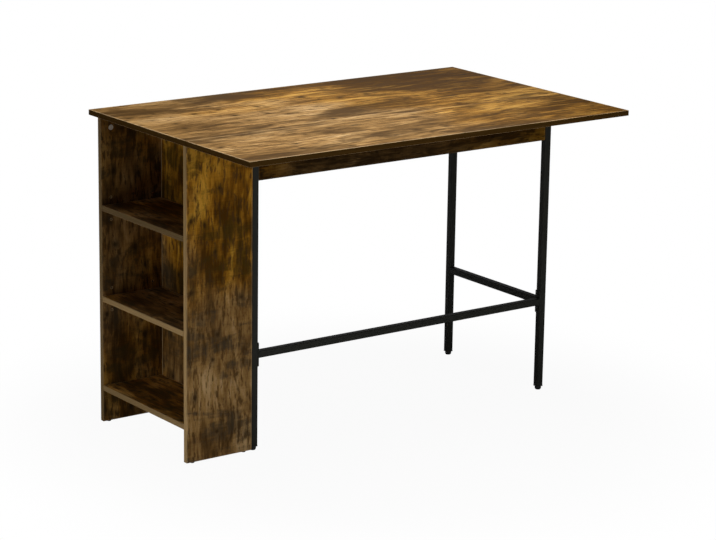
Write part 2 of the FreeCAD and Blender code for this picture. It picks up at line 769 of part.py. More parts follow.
plate_bolt_heights = [rail_middle + size.plate_bolt_spacing * side / 2 for side in (-1, 1)]
rail_bolts = {
    "left": [
        (apron_start + size.plate_thickness, leg_middle_y[0], z, TO_PLUS_X) for z in plate_bolt_heights
    ],
    "right": [
        (right_leg_x - size.plate_thickness, leg_middle_y[0], z, TO_MINUS_X) for z in plate_bolt_heights
    ],
}
top_screws = {
    frame: [
        (x + size.tube_side / 2, y, underside - size.tube_side, DOWN)
        for y in (
            frame_front + size.tube_side + size.top_screw_setback,
            rear_leg_y - size.top_screw_setback,
        )
    ]
    for frame, x in (("left", unit_back), ("right", right_leg_x))
}
rail_screw_length = size.tube_side + size.top_thickness - size.screw_cover
rail_screw = pan_screw("rail_screw", rail_screw_length, 0)
rail_hole = pan_screw_cutter("rail_hole", rail_screw_length)

for frame, x in (("left", unit_back), ("right", right_leg_x)):
    for end, y in (("front", frame_front), ("rear", rear_leg_y)):
        label = "%s_%s_leg" % (frame, end)
        leg = square_tube(label, x, y, leg_bottom, "z", leg_length)
        cuts = []
        if frame == "left":
            cuts.append((long_hole, panel_screws))
        if end == "front":
            cuts.append((bolt_hole, rail_bolts[frame]))
        if cuts:
            finish_drilled(label, leg, cuts)
        else:
            finished(leg, label)
    inner = frame_depth - size.tube_side * 2
    low_label = "%s_low_rail" % frame
    finished(
        square_tube(low_label, x, frame_front + size.tube_side, size.rail_height, "y", inner), low_label
    )
    top_label = "%s_top_rail" % frame
    top_rail = square_tube(
        top_label, x, frame_front + size.tube_side, underside - size.tube_side, "y", inner
    )
    finish_drilled(top_label, top_rail, ((rail_hole, top_screws[frame]),))

foot_places = [
    (x + size.tube_side / 2, y, 0, UP) for x in (unit_back, right_leg_x) for y in leg_middle_y
]
group("leg_feet", leg_foot, foot_places)
group("panel_screws", long_screw, panel_screws)
group("top_rail_screws", rail_screw, top_screws["left"] + top_screws["right"])


# The foot rail between the front legs, with its end plates and bolts

rail_start = apron_start + size.plate_thickness
rail_end = right_leg_x - size.plate_thickness
finished(
    square_tube("foot_rail", rail_start, frame_front, size.rail_height, "x", rail_end - rail_start),
    "foot_rail",
)
for side, x in (("left", apron_start), ("right", rail_end)):
    label = "foot_rail_%s_plate" % side
    plate = new_body(label, x, frame_front, rail_middle - size.plate_height / 2)
    face = new_sketch(plate, "YZ_Plane")
    draw_rectangle(face, 0, 0, size.tube_side, size.plate_height)
    base = pad(plate, face, size.plate_thickness)
    doc.recompute()
    round_edges(plate, base, long_edges(base.Shape, X_AXIS), size.plate_corner)
    finish_drilled(label, plate, ((bolt_hole, rail_bolts[side]),))
group("foot_rail_bolts", machine_bolt, rail_bolts["left"] + rail_bolts["right"])


# The aprons, the tabs that carry them and the angles that hold the top to them

apron_low = underside - size.apron_height
apron_inset = (size.tube_side - size.apron_thickness) / 2
apron_faces = {"front": frame_front + apron_inset, "rear": frame_rear - apron_inset - size.apron_thickness}
tab_low = underside - size.tab_drop - size.tab_height
tab_middle = tab_low + size.tab_height / 2
tab_faces = {"front": apron_faces["front"] + size.apron_thickness, "rear": apron_faces["rear"]}

# Where each steel tab and its two screws lie: the screws go into the apron's inner face
tab_screws = {}
for end, turn in (("front", TO_PLUS_Y), ("rear", TO_MINUS_Y)):
    surface = tab_faces[end] + (size.tab_thickness if end == "front" else -size.tab_thickness)
    tab_screws[end] = [
        (x, surface, tab_middle + size.tab_screw_spacing * side / 2, turn)
        for x in (apron_start + size.tab_width / 2, right_leg_x - size.tab_width / 2)
        for side in (-1, 1)
    ]
angle_lines = (apron_start + size.angle_setback, right_leg_x - size.angle_setback)
angle_wood_screws = {
    "front": [
        (x, tab_faces["front"] + size.angle_thickness, underside - size.angle_screw_out, TO_PLUS_Y)
        for x in angle_lines
    ],
    "rear": [
        (x, tab_faces["rear"] - size.angle_thickness, underside - size.angle_screw_out, TO_MINUS_Y)
        for x in angle_lines
    ],
}
angle_top_screws = [
    (x, tab_faces["front"] + size.angle_screw_out, underside - size.angle_thickness, DOWN)
    for x in angle_lines
] + [
    (x, tab_faces["rear"] - size.angle_screw_out, underside - size.angle_thickness, DOWN)
    for x in angle_lines
]


def steel_tab(label, x, end):
    """A flat tab welded to a leg, flush against the apron's inner face."""
    y = tab_faces[end] - (0 if end == "front" else size.tab_thickness)
    tab = new_body(label, x, y, tab_low)
    face = new_sketch(tab, "XY_Plane")
    draw_rectangle(face, 0, 0, size.tab_width, size.tab_thickness)
    pad(tab, face, size.tab_height)
    return tab


angle_template = new_body("angle")
angle_outline = new_sketch(angle_template, "YZ_Plane", -size.angle_width / 2)
draw_outline(angle_outline, (
    (0, 0),
    (size.angle_side, 0),
    (size.angle_side, -size.angle_thickness),
    (size.angle_thickness, -size.angle_thickness),
    (size.angle_thickness, -size.angle_side),
    (0, -size.angle_side),
))
pad(angle_template, angle_outline, size.angle_width)
angle_places = [(x, tab_faces["front"], underside, UP) for x in angle_lines] + [
    (x, tab_faces["rear"], underside, facing(Z_AXIS, -X_AXIS)) for x in angle_lines
]
every_tab_screw = tab_screws["front"] + tab_screws["rear"]
every_angle_screw = angle_wood_screws["front"] + angle_wood_screws["rear"] + angle_top_screws
angles = group("top_angles", angle_template, angle_places)
finish_drilled("top_angles", angles, ((short_hole, every_angle_screw),))

tabs = []
for frame, x in (("left", apron_start), ("right", right_leg_x - size.tab_width)):
    for end in ("front", "rear"):
        tabs.append(steel_tab("%s_%s_tab" % (frame, end), x, end))
tab_set = doc.addObject("Part::Compound", "tab_set")
tab_set.Links = tabs
finish_drilled("apron_tabs", tab_set, ((short_hole, every_tab_screw),))
group("apron_screws", short_screw, every_tab_screw + every_angle_screw)


# The leaf hinges: two plates and a pin each, with the axis below the seam

hinge_y = seam_edge - size.seam_gap / 2
hinge_z = underside - size.knuckle_radius
knuckle_pitch = size.hinge_length / KNUCKLES
plate_level = size.knuckle_radius - size.hinge_plate
plate_root = size.knuckle_radius + size.knuckle_play


def hinge_half(label, side, own_knuckles):
    """One plate of a hinge, on the side of the axis that its sign gives."""
    body = new_body(label)
    start = plate_root if side > 0 else -size.hinge_reach
    face = new_sketch(body, "XY_Plane", plate_level)
    draw_rectangle(face, -size.hinge_length / 2, start, size.hinge_length, size.hinge_reach - plate_root)
    base = pad(body, face, size.hinge_plate)
    doc.recompute()
    far = number(size.hinge_reach)
    corners = [
        name for name in long_edges(base.Shape, Z_AXIS)
        if abs(abs(base.Shape.getElement(name).CenterOfMass.y) - far) < Part.Precision.confusion()
    ]
    round_edges(body, base, corners, size.hinge_corner)
    for index in own_knuckles:
        x = knuckle_pitch * index - size.hinge_length / 2 + size.knuckle_play / 2
        length = knuckle_pitch - size.knuckle_play
        tongue = new_sketch(body, "XY_Plane", plate_level)
        tongue_start = 0 if side > 0 else -plate_root - size.knuckle_play
        draw_rectangle(tongue, x, tongue_start, length, plate_root + size.knuckle_play)
        pad(body, tongue, size.hinge_plate)
        barrel = new_sketch(body, "YZ_Plane", x)
        draw_circle(barrel, 0, 0, size.knuckle_radius)
        pad(body, barrel, length)
    bore = new_sketch(body, "YZ_Plane", -size.hinge_length / 2 - size.overrun)
    draw_circle(bore, 0, 0, size.hinge_pin_radius + size.pin_running_clearance)
    pocket(body, bore, size.hinge_length + size.overrun * 2, True)
    return body


hinge_reach_x = half_length - size.hinge_setback
hinge_lines = [hinge_reach_x * step for step in HINGE_PLACES]
hinge_spots = [(x, hinge_y, hinge_z, UP) for x in hinge_lines]


def hinge_screw_places(side):
    return [
        (
            x + size.hinge_screw_offset * across,
            hinge_y + size.hinge_screw_out * side,
            underside - size.hinge_plate,
            DOWN,
        )
        for x in hinge_lines for across in (-1, 1)
    ]


fixed_half = hinge_half("fixed_half", 1, range(0, KNUCKLES, 2))
moving_half = hinge_half("moving_half", -1, range(1, KNUCKLES, 2))
finish_drilled(
    "hinge_fixed_plates", group("hinge_fixed_plates", fixed_half, hinge_spots),
    ((hinge_hole, hinge_screw_places(1)),),
)
finish_drilled(
    "hinge_leaf_plates", group("hinge_leaf_plates", moving_half, hinge_spots),
    ((hinge_hole, hinge_screw_places(-1)),),
)
hinge_pin = new_body("hinge_pin")
hinge_pin_end = new_sketch(hinge_pin, "YZ_Plane", -size.hinge_length / 2)
draw_circle(hinge_pin_end, 0, 0, size.hinge_pin_radius)
pad(hinge_pin, hinge_pin_end, size.hinge_length)
group("hinge_pins", hinge_pin, hinge_spots)
group("hinge_fixed_screws", hinge_screw, hinge_screw_places(1))
group("hinge_leaf_screws", hinge_screw, hinge_screw_places(-1))


# The folding stays: each has a wall plate on the apron, a brace that swings on it and an
# arm under the leaf. The brace turns at a steady ratio to the leaf, and the arm's guide
# slot is the path that the guide bolt then follows in the arm.

pivot_y = hinge_y + size.pivot_out
pivot_z = hinge_z - size.pivot_drop
brace_rise = size.pivot_drop - size.guide_drop
brace_run = root(size.brace_length * size.brace_length - brace_rise * brace_rise)
brace_tilt = arc_cosine(brace_rise / size.brace_length)
guide_y = pivot_y - brace_run
guide_z = pivot_z + brace_rise


def guide_point(share):
    """Guide bolt's distance out from the hinge axis and down from the leaf's own level line."""
    fold = math.radians(FOLD_ANGLE * share)
    out = from_sheet("pivot_out")
    drop = from_sheet("pivot_drop")
    length = from_sheet("brace_length")
    start = math.acos((drop - from_sheet("guide_drop")) / length)
    angle = start + (math.radians(FOLD_ANGLE) - start) * share
    along = drop * math.sin(fold) - out * math.cos(fold) + length * math.sin(angle)
    down = drop * math.cos(fold) + out * math.sin(fold) - length * math.cos(angle)
    return FreeCAD.Vector(0, -along, -down)


def guide_slot_cutter():
    """The closed slot round the guide path, as wide as the bolt and its play."""
    reach = from_sheet("stay_pin_radius") + from_sheet("slot_play")
    path = [guide_point(step / SLOT_STEPS) for step in range(SLOT_STEPS + 1)]
    middle = Part.BSplineCurve()
    middle.interpolate(path)
    first, last = middle.FirstParameter, middle.LastParameter
    marks = [first + (last - first) * step / SLOT_STEPS for step in range(SLOT_STEPS + 1)]
    sides = []
    for side in (-1, 1):
        points = []
        for mark in marks:
            way = middle.tangent(mark)[0]
            points.append(middle.value(mark) + way.cross(X_AXIS) * (reach * side))
        sides.append(points)
    edges = []
    for points in sides:
        flank = Part.BSplineCurve()
        flank.interpolate(points)
        edges.append(flank.toShape())
    for index, mark, way in ((0, first, -1), (-1, last, 1)):
        tip = middle.value(mark) + middle.tangent(mark)[0] * (reach * way)
        edges.append(Part.Arc(sides[0][index], tip, sides[1][index]).toShape())
    wire = Part.Wire(Part.__sortEdges__(edges))
    past = from_sheet("overrun")
    wire.translate(X_AXIS * -past)
    return Part.Face(wire).extrude(X_AXIS * (from_sheet("steel_plate") + past * 2))


slot_deepest = max(-guide_point(step / SLOT_STEPS).z for step in range(SLOT_STEPS + 1))
slot_reach = size.stay_pin_radius + size.slot_play
guide_start = brace_run - size.pivot_out
guide_end = size.brace_length + size.pivot_drop
flange_in = guide_start - size.flange_end
flange_out = guide_end + size.flange_end
slot_cutter = doc.addObject("Part::Feature", "guide_slot")
slot_cutter.Shape = guide_slot_cutter()
slot_cutter.Placement = FreeCAD.Placement()

flange_deep = slot_reach + size.flange_margin + slot_deepest
leaf_side = size.knuckle_radius
arm_blank = new_body("leaf_arm")
flange = new_sketch(arm_blank, "YZ_Plane")
draw_outline(flange, (
    (-flange_in, leaf_side),
    (-flange_in, -size.flange_nose),
    (-flange_in - size.flange_slope, -flange_deep),
    (-flange_out + size.flange_slope, -flange_deep),
    (-flange_out, -size.flange_nose),
    (-flange_out, leaf_side),
))
flange_pad = pad(arm_blank, flange, size.steel_plate)
doc.recompute()
low_corners = [
    name for name in long_edges(flange_pad.Shape, X_AXIS)
    if flange_pad.Shape.getElement(name).CenterOfMass.z < 0
]
round_edges(arm_blank, flange_pad, low_corners, size.flange_corner)
arm_plate = new_sketch(arm_blank, "XY_Plane", leaf_side - size.steel_plate)
draw_rectangle(
    arm_plate, -size.arm_plate_width, -flange_out,
    size.arm_plate_width + size.steel_plate, flange_out - size.arm_plate_start,
)
pad(arm_blank, arm_plate, size.steel_plate)
leaf_arm = doc.addObject("Part::Cut", "slotted_arm")
leaf_arm.Base = arm_blank
leaf_arm.Tool = slot_cutter

wall_face = apron_faces["front"] - pivot_y
wall_plate = new_body("wall_plate")
ear = new_sketch(wall_plate, "YZ_Plane")
draw_outline(ear, (
    (wall_face, -size.ear_radius),
    (-size.ear_radius, -size.ear_radius),
    (-size.ear_radius, size.ear_radius),
    (wall_face, size.foot_plate_rise),
))
ear_pad = pad(wall_plate, ear, size.steel_plate)
doc.recompute()
ear_corners = [
    name for name in long_edges(ear_pad.Shape, X_AXIS)
    if ear_pad.Shape.getElement(name).CenterOfMass.y < 0
]
round_edges(wall_plate, ear_pad, ear_corners, size.ear_corner)
wall_rectangle = new_sketch(wall_plate, "XZ_Plane", -wall_face)
draw_rectangle(
    wall_rectangle, -size.wall_plate_width, -size.ear_radius,
    size.wall_plate_width + size.steel_plate, size.ear_radius + size.foot_plate_rise,
)
pad(wall_plate, wall_rectangle, size.steel_plate)
ear_bore = new_sketch(wall_plate, "YZ_Plane", -size.overrun)
draw_circle(ear_bore, 0, 0, size.stay_pin_radius + size.pin_running_clearance)
pocket(wall_plate, ear_bore, size.steel_plate + size.overrun * 2, True)

brace_back = -size.stay_gap - size.brace_thickness
brace = new_body("brace")
bar = new_sketch(brace, "YZ_Plane", brace_back)
half_bar = size.brace_width / 2
draw_rectangle(bar, -half_bar, -half_bar, size.brace_width, size.brace_length + size.brace_width)
bar_pad = pad(brace, bar, size.brace_thickness)
doc.recompute()
bar_round = size.brace_width / 2 - size.fit_clearance
round_edges(brace, bar_pad, long_edges(bar_pad.Shape, X_AXIS), bar_round)
for height, radius in (
    (0, size.stay_pin_radius + size.pin_running_clearance),
    (size.brace_length, size.stay_pin_radius + size.pin_running_clearance),
) + tuple((size.brace_length * share, size.brace_hole_radius) for share in LIGHTENING_SHARES):
    hole = new_sketch(brace, "YZ_Plane", brace_back - size.overrun)
    draw_circle(hole, 0, height, radius)
    pocket(brace, hole, size.brace_thickness + size.overrun * 2, True)

rivet = new_body("rivet")
rivet_low = brace_back - size.rivet_play
revolve(rivet, (
    (0, rivet_low - size.rivet_head),
    (size.rivet_head_radius * HEAD_CROWN_SHARE, rivet_low - size.rivet_head),
    (size.rivet_head_radius, rivet_low),
    (size.stay_pin_radius, rivet_low),
    (size.stay_pin_radius, size.steel_plate),
    (size.rivet_head_radius, size.steel_plate),
    (size.rivet_head_radius * HEAD_CROWN_SHARE, size.steel_plate + size.rivet_head),
    (0, size.steel_plate + size.rivet_head),
))

nut_start = size.steel_plate + size.thumb_nut_gap
nut_end = nut_start + size.thumb_nut_boss + size.thumb_nut_height
guide_bolt = new_body("guide_bolt")
revolve(guide_bolt, (
    (0, brace_back - size.guide_head),
    (size.guide_head_radius * HEAD_CROWN_SHARE, brace_back - size.guide_head),
    (size.guide_head_radius, brace_back - size.guide_head * HEAD_CROWN_SHARE),
    (size.guide_head_radius, brace_back),
    (size.stay_pin_radius, brace_back),
    (size.stay_pin_radius, nut_end + size.guide_bolt_end),
    (0, nut_end + size.guide_bolt_end),
))

thumb_nut = new_body("thumb_nut")
bore_radius = size.stay_pin_radius + size.pin_running_clearance
revolve(thumb_nut, (
    (bore_radius, nut_start),
    (size.thumb_nut_boss_radius, nut_start),
    (size.thumb_nut_boss_radius, nut_start + size.thumb_nut_boss),
    (size.thumb_nut_radius, nut_start + size.thumb_nut_boss),
    (size.thumb_nut_radius, nut_end),
    (bore_radius, nut_end),
))
flute = new_sketch(thumb_nut, "XY_Plane", nut_start)
draw_circle(flute, size.thumb_nut_radius, 0, size.thumb_nut_flute)
flute_cut = pocket(thumb_nut, flute, nut_end, True)
doc.recompute()
flutes = thumb_nut.newObject("PartDesign::PolarPattern", "flutes")
flutes.Originals = [flute_cut]
flutes.Axis = (flute, ["N_Axis"])
flutes.Occurrences = FLUTES
thumb_nut.Tip = flutes


# Screws of the stays: three up into the leaf and two into the apron at each stay

arm_screw_lines = (
    size.arm_plate_start + size.arm_screw_end,
    (size.arm_plate_start + flange_out) / 2,
    flange_out - size.arm_screw_end,
)
stay_lines = {"left": apron_start + size.stay_setback, "right": right_leg_x - size.stay_setback}
arm_screws = {
    side: [
        (x - size.arm_screw_out, hinge_y - out, underside - size.steel_plate, DOWN)
        for out in arm_screw_lines
    ]
    for side, x in stay_lines.items()
}
wall_screws = {
    side: [
        (x - size.wall_screw_out, apron_faces["front"] - size.steel_plate, pivot_z + up, TO_MINUS_Y)
        for up in (size.wall_screw_low, size.wall_screw_high)
    ]
    for side, x in stay_lines.items()
}
every_arm_screw = arm_screws["left"] + arm_screws["right"]
every_wall_screw = wall_screws["left"] + wall_screws["right"]

for side, x in stay_lines.items():
    arm = group("%s_leaf_arm" % side, leaf_arm, [(x, hinge_y, hinge_z, UP)])
    finish_drilled("%s_leaf_arm" % side, arm, ((short_hole, arm_screws[side]),))
    wall = group("%s_wall_plate" % side, wall_plate, [(x, pivot_y, pivot_z, UP)])
    finish_drilled("%s_wall_plate" % side, wall, ((short_hole, wall_screws[side]),))
    swing = copies(brace, [(x, pivot_y, pivot_z, FreeCAD.Rotation(X_AXIS, number(brace_tilt)))])[0]
    bind(swing, "Placement.Rotation.Angle", brace_tilt)
    finished(swing, "%s_brace" % side)
    group("%s_pivot_rivet" % side, rivet, [(x, pivot_y, pivot_z, TO_PLUS_X)])
    group("%s_guide_bolt" % side, guide_bolt, [(x, guide_y, guide_z, TO_PLUS_X)])
    group("%s_thumb_nut" % side, thumb_nut, [(x, guide_y, guide_z, TO_PLUS_X)])
group("arm_screws", short_screw, every_arm_screw)
group("wall_plate_screws", short_screw, every_wall_screw)


# The aprons and the two boards of the top, drilled for everything that fastens to them

for end in ("front", "rear"):
    label = "%s_apron" % end
    blank = board(
        label, apron_start, apron_faces[end], apron_low,
        apron_length, size.apron_thickness, size.apron_height,
    )
    cuts = [(short_hole, tab_screws[end] + angle_wood_screws[end])]
    if end == "front":
        cuts[0] = (short_hole, tab_screws[end] + angle_wood_screws[end] + every_wall_screw)
    finish_drilled(label, blank, cuts)

top_blank = board(
    "fixed_top", -half_length, seam_edge, underside, size.table_length, size.fixed_depth, size.top_thickness
)
finish_drilled("fixed_top", top_blank, (
    (cam_bore, both_sides(top_cams)),
    (rail_hole, top_screws["left"] + top_screws["right"]),
    (short_hole, angle_top_screws),
    (hinge_hole, hinge_screw_places(1)),
))
leaf_blank = board(
    "drop_leaf", -half_length, leaf_edge, underside, size.table_length, size.leaf_depth, size.top_thickness
)
finish_drilled("drop_leaf", leaf_blank, (
    (short_hole, every_arm_screw),
    (hinge_hole, hinge_screw_places(-1)),
))

doc.recompute()


# Checks on every object and sub-part, then the files

faults = []
for item in doc.Objects:
    if "Invalid" in item.State or "Error" in item.State:
        faults.append("%s: %s" % (item.Label, item.State))
for item in nodes:
    if item.Shape.isNull() or not item.Shape.isValid() or not item.Shape.Solids:
        faults.append("%s: bad shape" % item.Label)
if faults:
    raise RuntimeError("; ".join(faults))

os.makedirs("parts", exist_ok=True)
for item in nodes:
    item.Shape.exportStep(os.path.join("parts", "%s.step" % item.Label))
print("sub-parts:", len(nodes), "solids:", sum(len(item.Shape.Solids) for item in nodes))
ratio = (math.degrees(math.pi) - number(brace_tilt)) / FOLD_ANGLE
print("brace turns", ratio, "times as far as the leaf")
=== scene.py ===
"""Looks for the folding bar table: printed wood boards, black steel frame, zinc fittings and a studio."""

import json
import math
from typing import NamedTuple

import bmesh
import bpy
from bpy.props import FloatProperty, FloatVectorProperty, IntProperty, PointerProperty
from mathutils import Matrix, Vector


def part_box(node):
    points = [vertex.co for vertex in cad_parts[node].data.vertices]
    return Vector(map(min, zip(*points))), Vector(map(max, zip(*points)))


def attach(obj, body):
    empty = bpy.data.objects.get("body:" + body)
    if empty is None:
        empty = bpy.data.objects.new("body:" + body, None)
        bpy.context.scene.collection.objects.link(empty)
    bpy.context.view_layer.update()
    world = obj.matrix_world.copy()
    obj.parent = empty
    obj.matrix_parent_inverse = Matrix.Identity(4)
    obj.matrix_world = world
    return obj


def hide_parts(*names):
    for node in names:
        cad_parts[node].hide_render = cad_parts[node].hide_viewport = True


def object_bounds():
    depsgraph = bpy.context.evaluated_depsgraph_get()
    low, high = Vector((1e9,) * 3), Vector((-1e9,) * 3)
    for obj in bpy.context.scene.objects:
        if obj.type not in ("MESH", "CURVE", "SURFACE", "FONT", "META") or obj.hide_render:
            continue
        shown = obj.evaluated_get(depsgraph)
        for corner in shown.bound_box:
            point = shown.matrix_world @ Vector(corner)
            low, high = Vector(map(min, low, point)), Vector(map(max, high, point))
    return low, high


bl_info = {
    "name": "Folding bar table looks",
    "version": (1, 0, 0),
    "blender": (4, 5, 0),
    "location": "View3D > Sidebar > Bar Table",
    "description": "Materials, fastener heads, weld seams and a studio for the folding bar table",
    "category": "Object",
}

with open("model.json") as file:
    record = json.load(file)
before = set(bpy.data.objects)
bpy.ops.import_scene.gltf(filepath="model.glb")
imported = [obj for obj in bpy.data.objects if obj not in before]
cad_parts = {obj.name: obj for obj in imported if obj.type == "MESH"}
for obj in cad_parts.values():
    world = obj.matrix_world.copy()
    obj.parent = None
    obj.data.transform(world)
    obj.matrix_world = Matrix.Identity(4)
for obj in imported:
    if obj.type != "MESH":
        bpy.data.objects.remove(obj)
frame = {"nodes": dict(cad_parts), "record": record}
NODES = frame["nodes"]
CAD_LOW, CAD_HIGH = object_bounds()
TABLE_MIDDLE = (CAD_LOW + CAD_HIGH) / 2

MM = 0.001
AXIS = {"x": 0, "y": 1, "z": 2}
WHITE = (1.0, 1.0, 1.0)

# The middle value of a noise texture
NOISE_MIDDLE = 0.5

# Socket numbers of a Mix node that mixes colours
MIX_SHARE, MIX_FIRST, MIX_SECOND, MIX_RESULT = 0, 6, 7, 2

# Socket numbers of a Random Value node that gives plain numbers
RANDOM_LOW, RANDOM_HIGH, RANDOM_RESULT = 2, 3, 1


class Board(NamedTuple):
    """How one board is printed and banded."""

    grain: str  # the axis that its grain runs along
    thin: str  # the axis that it is thin along
    band: str  # its edge band, pale or dark
    tone: float = 1.0  # how light its print is
    stretch: float = 1.0  # how far the print is stretched along the grain
    broad: float = 1.0  # how broad its patches and clouds are
    fine: float = 0.2  # how much of the print is fine lines
    warm: float = 1.0  # how strongly its golden stretches are tinted
    place: float = 0.0  # where it lies in the printed pattern
    spread: float = 1.0  # how far its clouds spread across the grain
    edge: float = 1.0  # how light its edge band is, set per board as painted light and shade
    rub_and_highlight: float = 0.3  # how far its arrises are painted lighter, as rubbed print and as a painted highlight
    along: float = 0.0  # how much more golden it gets along the grain, for each metre
    across: float = 0.0  # the same across the grain
    cloud_shade_gather: float = 0.0  # how far its clouds gather where it gets more golden, a painted shade


# The top's drift along and across, with its gathering clouds, is painted sheen and shade: greyer towards
# its near left, more golden and darker towards its far right
TOP = Board(
    "x", "z", "dark", tone=1.2, stretch=1.5, broad=1.9, fine=0.4, warm=0.7, spread=0.9, rub_and_highlight=0.75,
    along=0.6, across=0.45, cloud_shade_gather=0.11,
)
UPRIGHT = Board("z", "y", "pale", stretch=0.8, fine=0.16)
SHELF = Board("y", "z", "pale", tone=1.1, rub_and_highlight=0.5)
APRON = Board("x", "y", "dark", tone=0.43, stretch=1.2)
# Each board's edge value paints light and shade on its edge band: darker on the upper shelf under the top
# and on the far side panel, lighter on the near side panel and the middle shelf
BOARDS = {
    "fixed_top": TOP,
    "drop_leaf": TOP,
    "front_side_panel": UPRIGHT._replace(tone=1.25, broad=1.2, place=3.0, spread=1.8, edge=1.4, along=0.7),
    "rear_side_panel": UPRIGHT._replace(tone=0.8, warm=0.8, place=5.0, spread=1.4, edge=0.72),
    # Its full arris line paints a light line in each corner where it meets the side panels: a painted
    # highlight
    "shelf_back_panel": Board("z", "x", "pale", tone=1.05, fine=0.16, place=7.4, spread=1.4, rub_and_highlight=1.0),
    "upper_shelf": SHELF._replace(place=9.0, edge=0.56),
    "middle_shelf": SHELF._replace(warm=0.8, place=11.0, edge=1.2),
    "bottom_shelf": SHELF._replace(tone=1.2, warm=0.6, place=13.0, edge=0.95),
    "front_apron": APRON._replace(place=15.0),
    "rear_apron": APRON._replace(place=17.0),
}

# Boards with a row of holes for shelf pins, the pitch of the holes, and to how many decimals of a
# metre the pins of one shelf are level
DRILLED_BOARDS = ("front_side_panel", "rear_side_panel")
PIN_PITCH = 32 * MM
LEVEL_DECIMALS = 2

# The material slot of each CAD node, and the one node of the plated slot that is cast
SLOTS = {part["node"]: part["material_slot"] for part in frame["record"]["subparts"]}
CAST_NODE = "cam_locks"

# Screw nodes: their body, their finish and whether the head is countersunk
SCREWS = {
    "apron_screws": ("base", "black", False),
    "panel_screws": ("base", "black", False),
    "top_rail_screws": ("base", "black", False),
    "wall_plate_screws": ("base", "zinc", False),
    "arm_screws": ("leaf", "zinc", False),
    "hinge_fixed_screws": ("base", "zinc", True),
    "hinge_leaf_screws": ("leaf", "zinc", True),
}

# A screw head's rim starts at this share of its radius, and its shank is measured this far below it
RIM_SHARE = 0.97
UNDER_HEAD = 0.2 * MM

# Rails whose ends are welded on
WELDED_RAILS = ("left_low_rail", "right_low_rail", "left_top_rail", "right_top_rail", "foot_rail")


class Lamp(NamedTuple):
    """A square area lamp."""

    name: str
    place: tuple
    width: float
    power: str  # the studio setting that holds its power
    target: tuple = tuple(TABLE_MIDDLE)


LAMPS = (
    Lamp("Overhead lamp", (-0.25, -0.3, 2.1), 1.1, "top_power"),
    Lamp("Front lamp", (0.6, -5.0, 1.5), 1.6, "front_power"),
    Lamp("Left lamp", (-4.6, 0.1, 1.5), 1.4, "left_power"),
    Lamp("Low lamp", (-1.35, -0.1, 0.2), 0.35, "low_power", target=(-0.6, 0.1, 0.3)),
    Lamp("Rear lamp", (2.6, 3.4, 1.9), 1.6, "rear_power"),
    Lamp("Rear fill lamp", (0.4, 5.0, 0.7), 1.2, "fill_power"),
)

# Half the floor's width
FLOOR_HALF = 12.0


# Settings, whose kinds are named as bpy.props names its own

def Colour(name, description, default, most=1.0):
    return FloatVectorProperty(
        name=name, description=description, subtype="COLOR", default=default, min=0, max=most, size=3,
    )


def Length(name, description, default, least=0.0):
    return FloatProperty(name=name, description=description, default=default, min=least, unit="LENGTH")


def Share(name, description, default, least=0.0, most=1.0):
    return FloatProperty(name=name, description=description, default=default, min=least, max=most)


def Power(name, description, default):
    return FloatProperty(name=name, description=description, default=default, min=0, unit="POWER")


def Angle(name, description, default):
    return FloatProperty(name=name, description=description, default=default, unit="ROTATION")


class WoodSettings(bpy.types.PropertyGroup):
    """Colours and grain of the printed boards."""

    straw: Colour("Straw", "Lightest streaks of the print", (0.54, 0.355, 0.165))
    amber: Colour("Amber", "Light colour of the print", (0.36, 0.205, 0.070))
    brown: Colour("Brown", "Middle colour of the print", (0.19, 0.100, 0.030))
    umber: Colour("Umber", "Dark colour of the grain", (0.070, 0.036, 0.011))
    cloud: Colour("Clouds", "Colour of the weathered clouds and knots", (0.056, 0.043, 0.026))
    warm_tint: Colour("Warm tint", "Tint of the print's golden stretches", (1.12, 0.88, 0.22), 2.0)
    pale_band: Colour("Pale edge band", "Edge band of the shelf unit", (0.37, 0.240, 0.105))
    dark_band: Colour("Dark edge band", "Edge band of the top and aprons", (0.088, 0.043, 0.008))
    # The bare board colour paints the lighter arrises and pin hole rims, partly as a painted highlight
    bare_and_highlight: Colour("Bare board", "Rubbed arrises and chipped rims", (0.66, 0.47, 0.26))
    patch_length: Length("Patch length", "Patches of colour, along the grain", 190 * MM, 20 * MM)
    patch_width: Length("Patch width", "Patches of colour, across the grain", 85 * MM, 10 * MM)
    cloud_length: Length("Cloud length", "Weathered clouds, along the grain", 130 * MM, 20 * MM)
    cloud_width: Length("Cloud width", "Weathered clouds, across the grain", 85 * MM, 10 * MM)
    golden_length: Length("Golden length", "Golden stretches, along the grain", 418 * MM, 20 * MM)
    golden_width: Length("Golden width", "Golden stretches, across the grain", 221 * MM, 10 * MM)
    streak_length: Length("Streak length", "Length of light and dark streaks", 100 * MM, 10 * MM)
    streak_width: Length("Streak width", "Width of light and dark streaks", 13 * MM, MM)
    fibre_length: Length("Fibre length", "Length of the fine grain lines", 55 * MM, 10 * MM)
    fibre_width: Length("Fibre width", "Width of the fine grain lines", 4.2 * MM, 0.5 * MM)
    dash_length: Length("Dash length", "Length of the short dark dashes", 44 * MM, 5 * MM)
    dash_width: Length("Dash width", "Width of the short dark dashes", 7.98 * MM, 0.5 * MM)
    pore_length: Length("Pore length", "Length of the open pores", 16.5 * MM, 2 * MM)
    pore_width: Length("Pore width", "Width of the open pores", 1.26 * MM, 0.2 * MM)
    knot_spacing: Length("Knot spacing", "Distance from one knot to the next", 100 * MM, 20 * MM)
    # The lighter line along the arrises is rubbed print and a painted highlight
    rub_width: Length("Rubbed edge", "Width of the lighter line along the arrises", 5 * MM, 0.1 * MM)
    # The pale rim round each pin hole is chipped print and a painted highlight of the lit rim
    lit_hole_rim: Length("Hole rim", "Outer radius of a pin hole's chipped rim", 4.2 * MM, 0.5 * MM)
    band_edge: Length("Print edge", "How far the print stops from the board's edge", 0.45 * MM)
    relief: Length("Relief", "Depth of the grain's relief", 0.12 * MM)
    roughness: Share("Roughness", "Roughness of the printed face", 0.42)
    gloss: Share("Gloss", "Specular level of the print", 0.018)


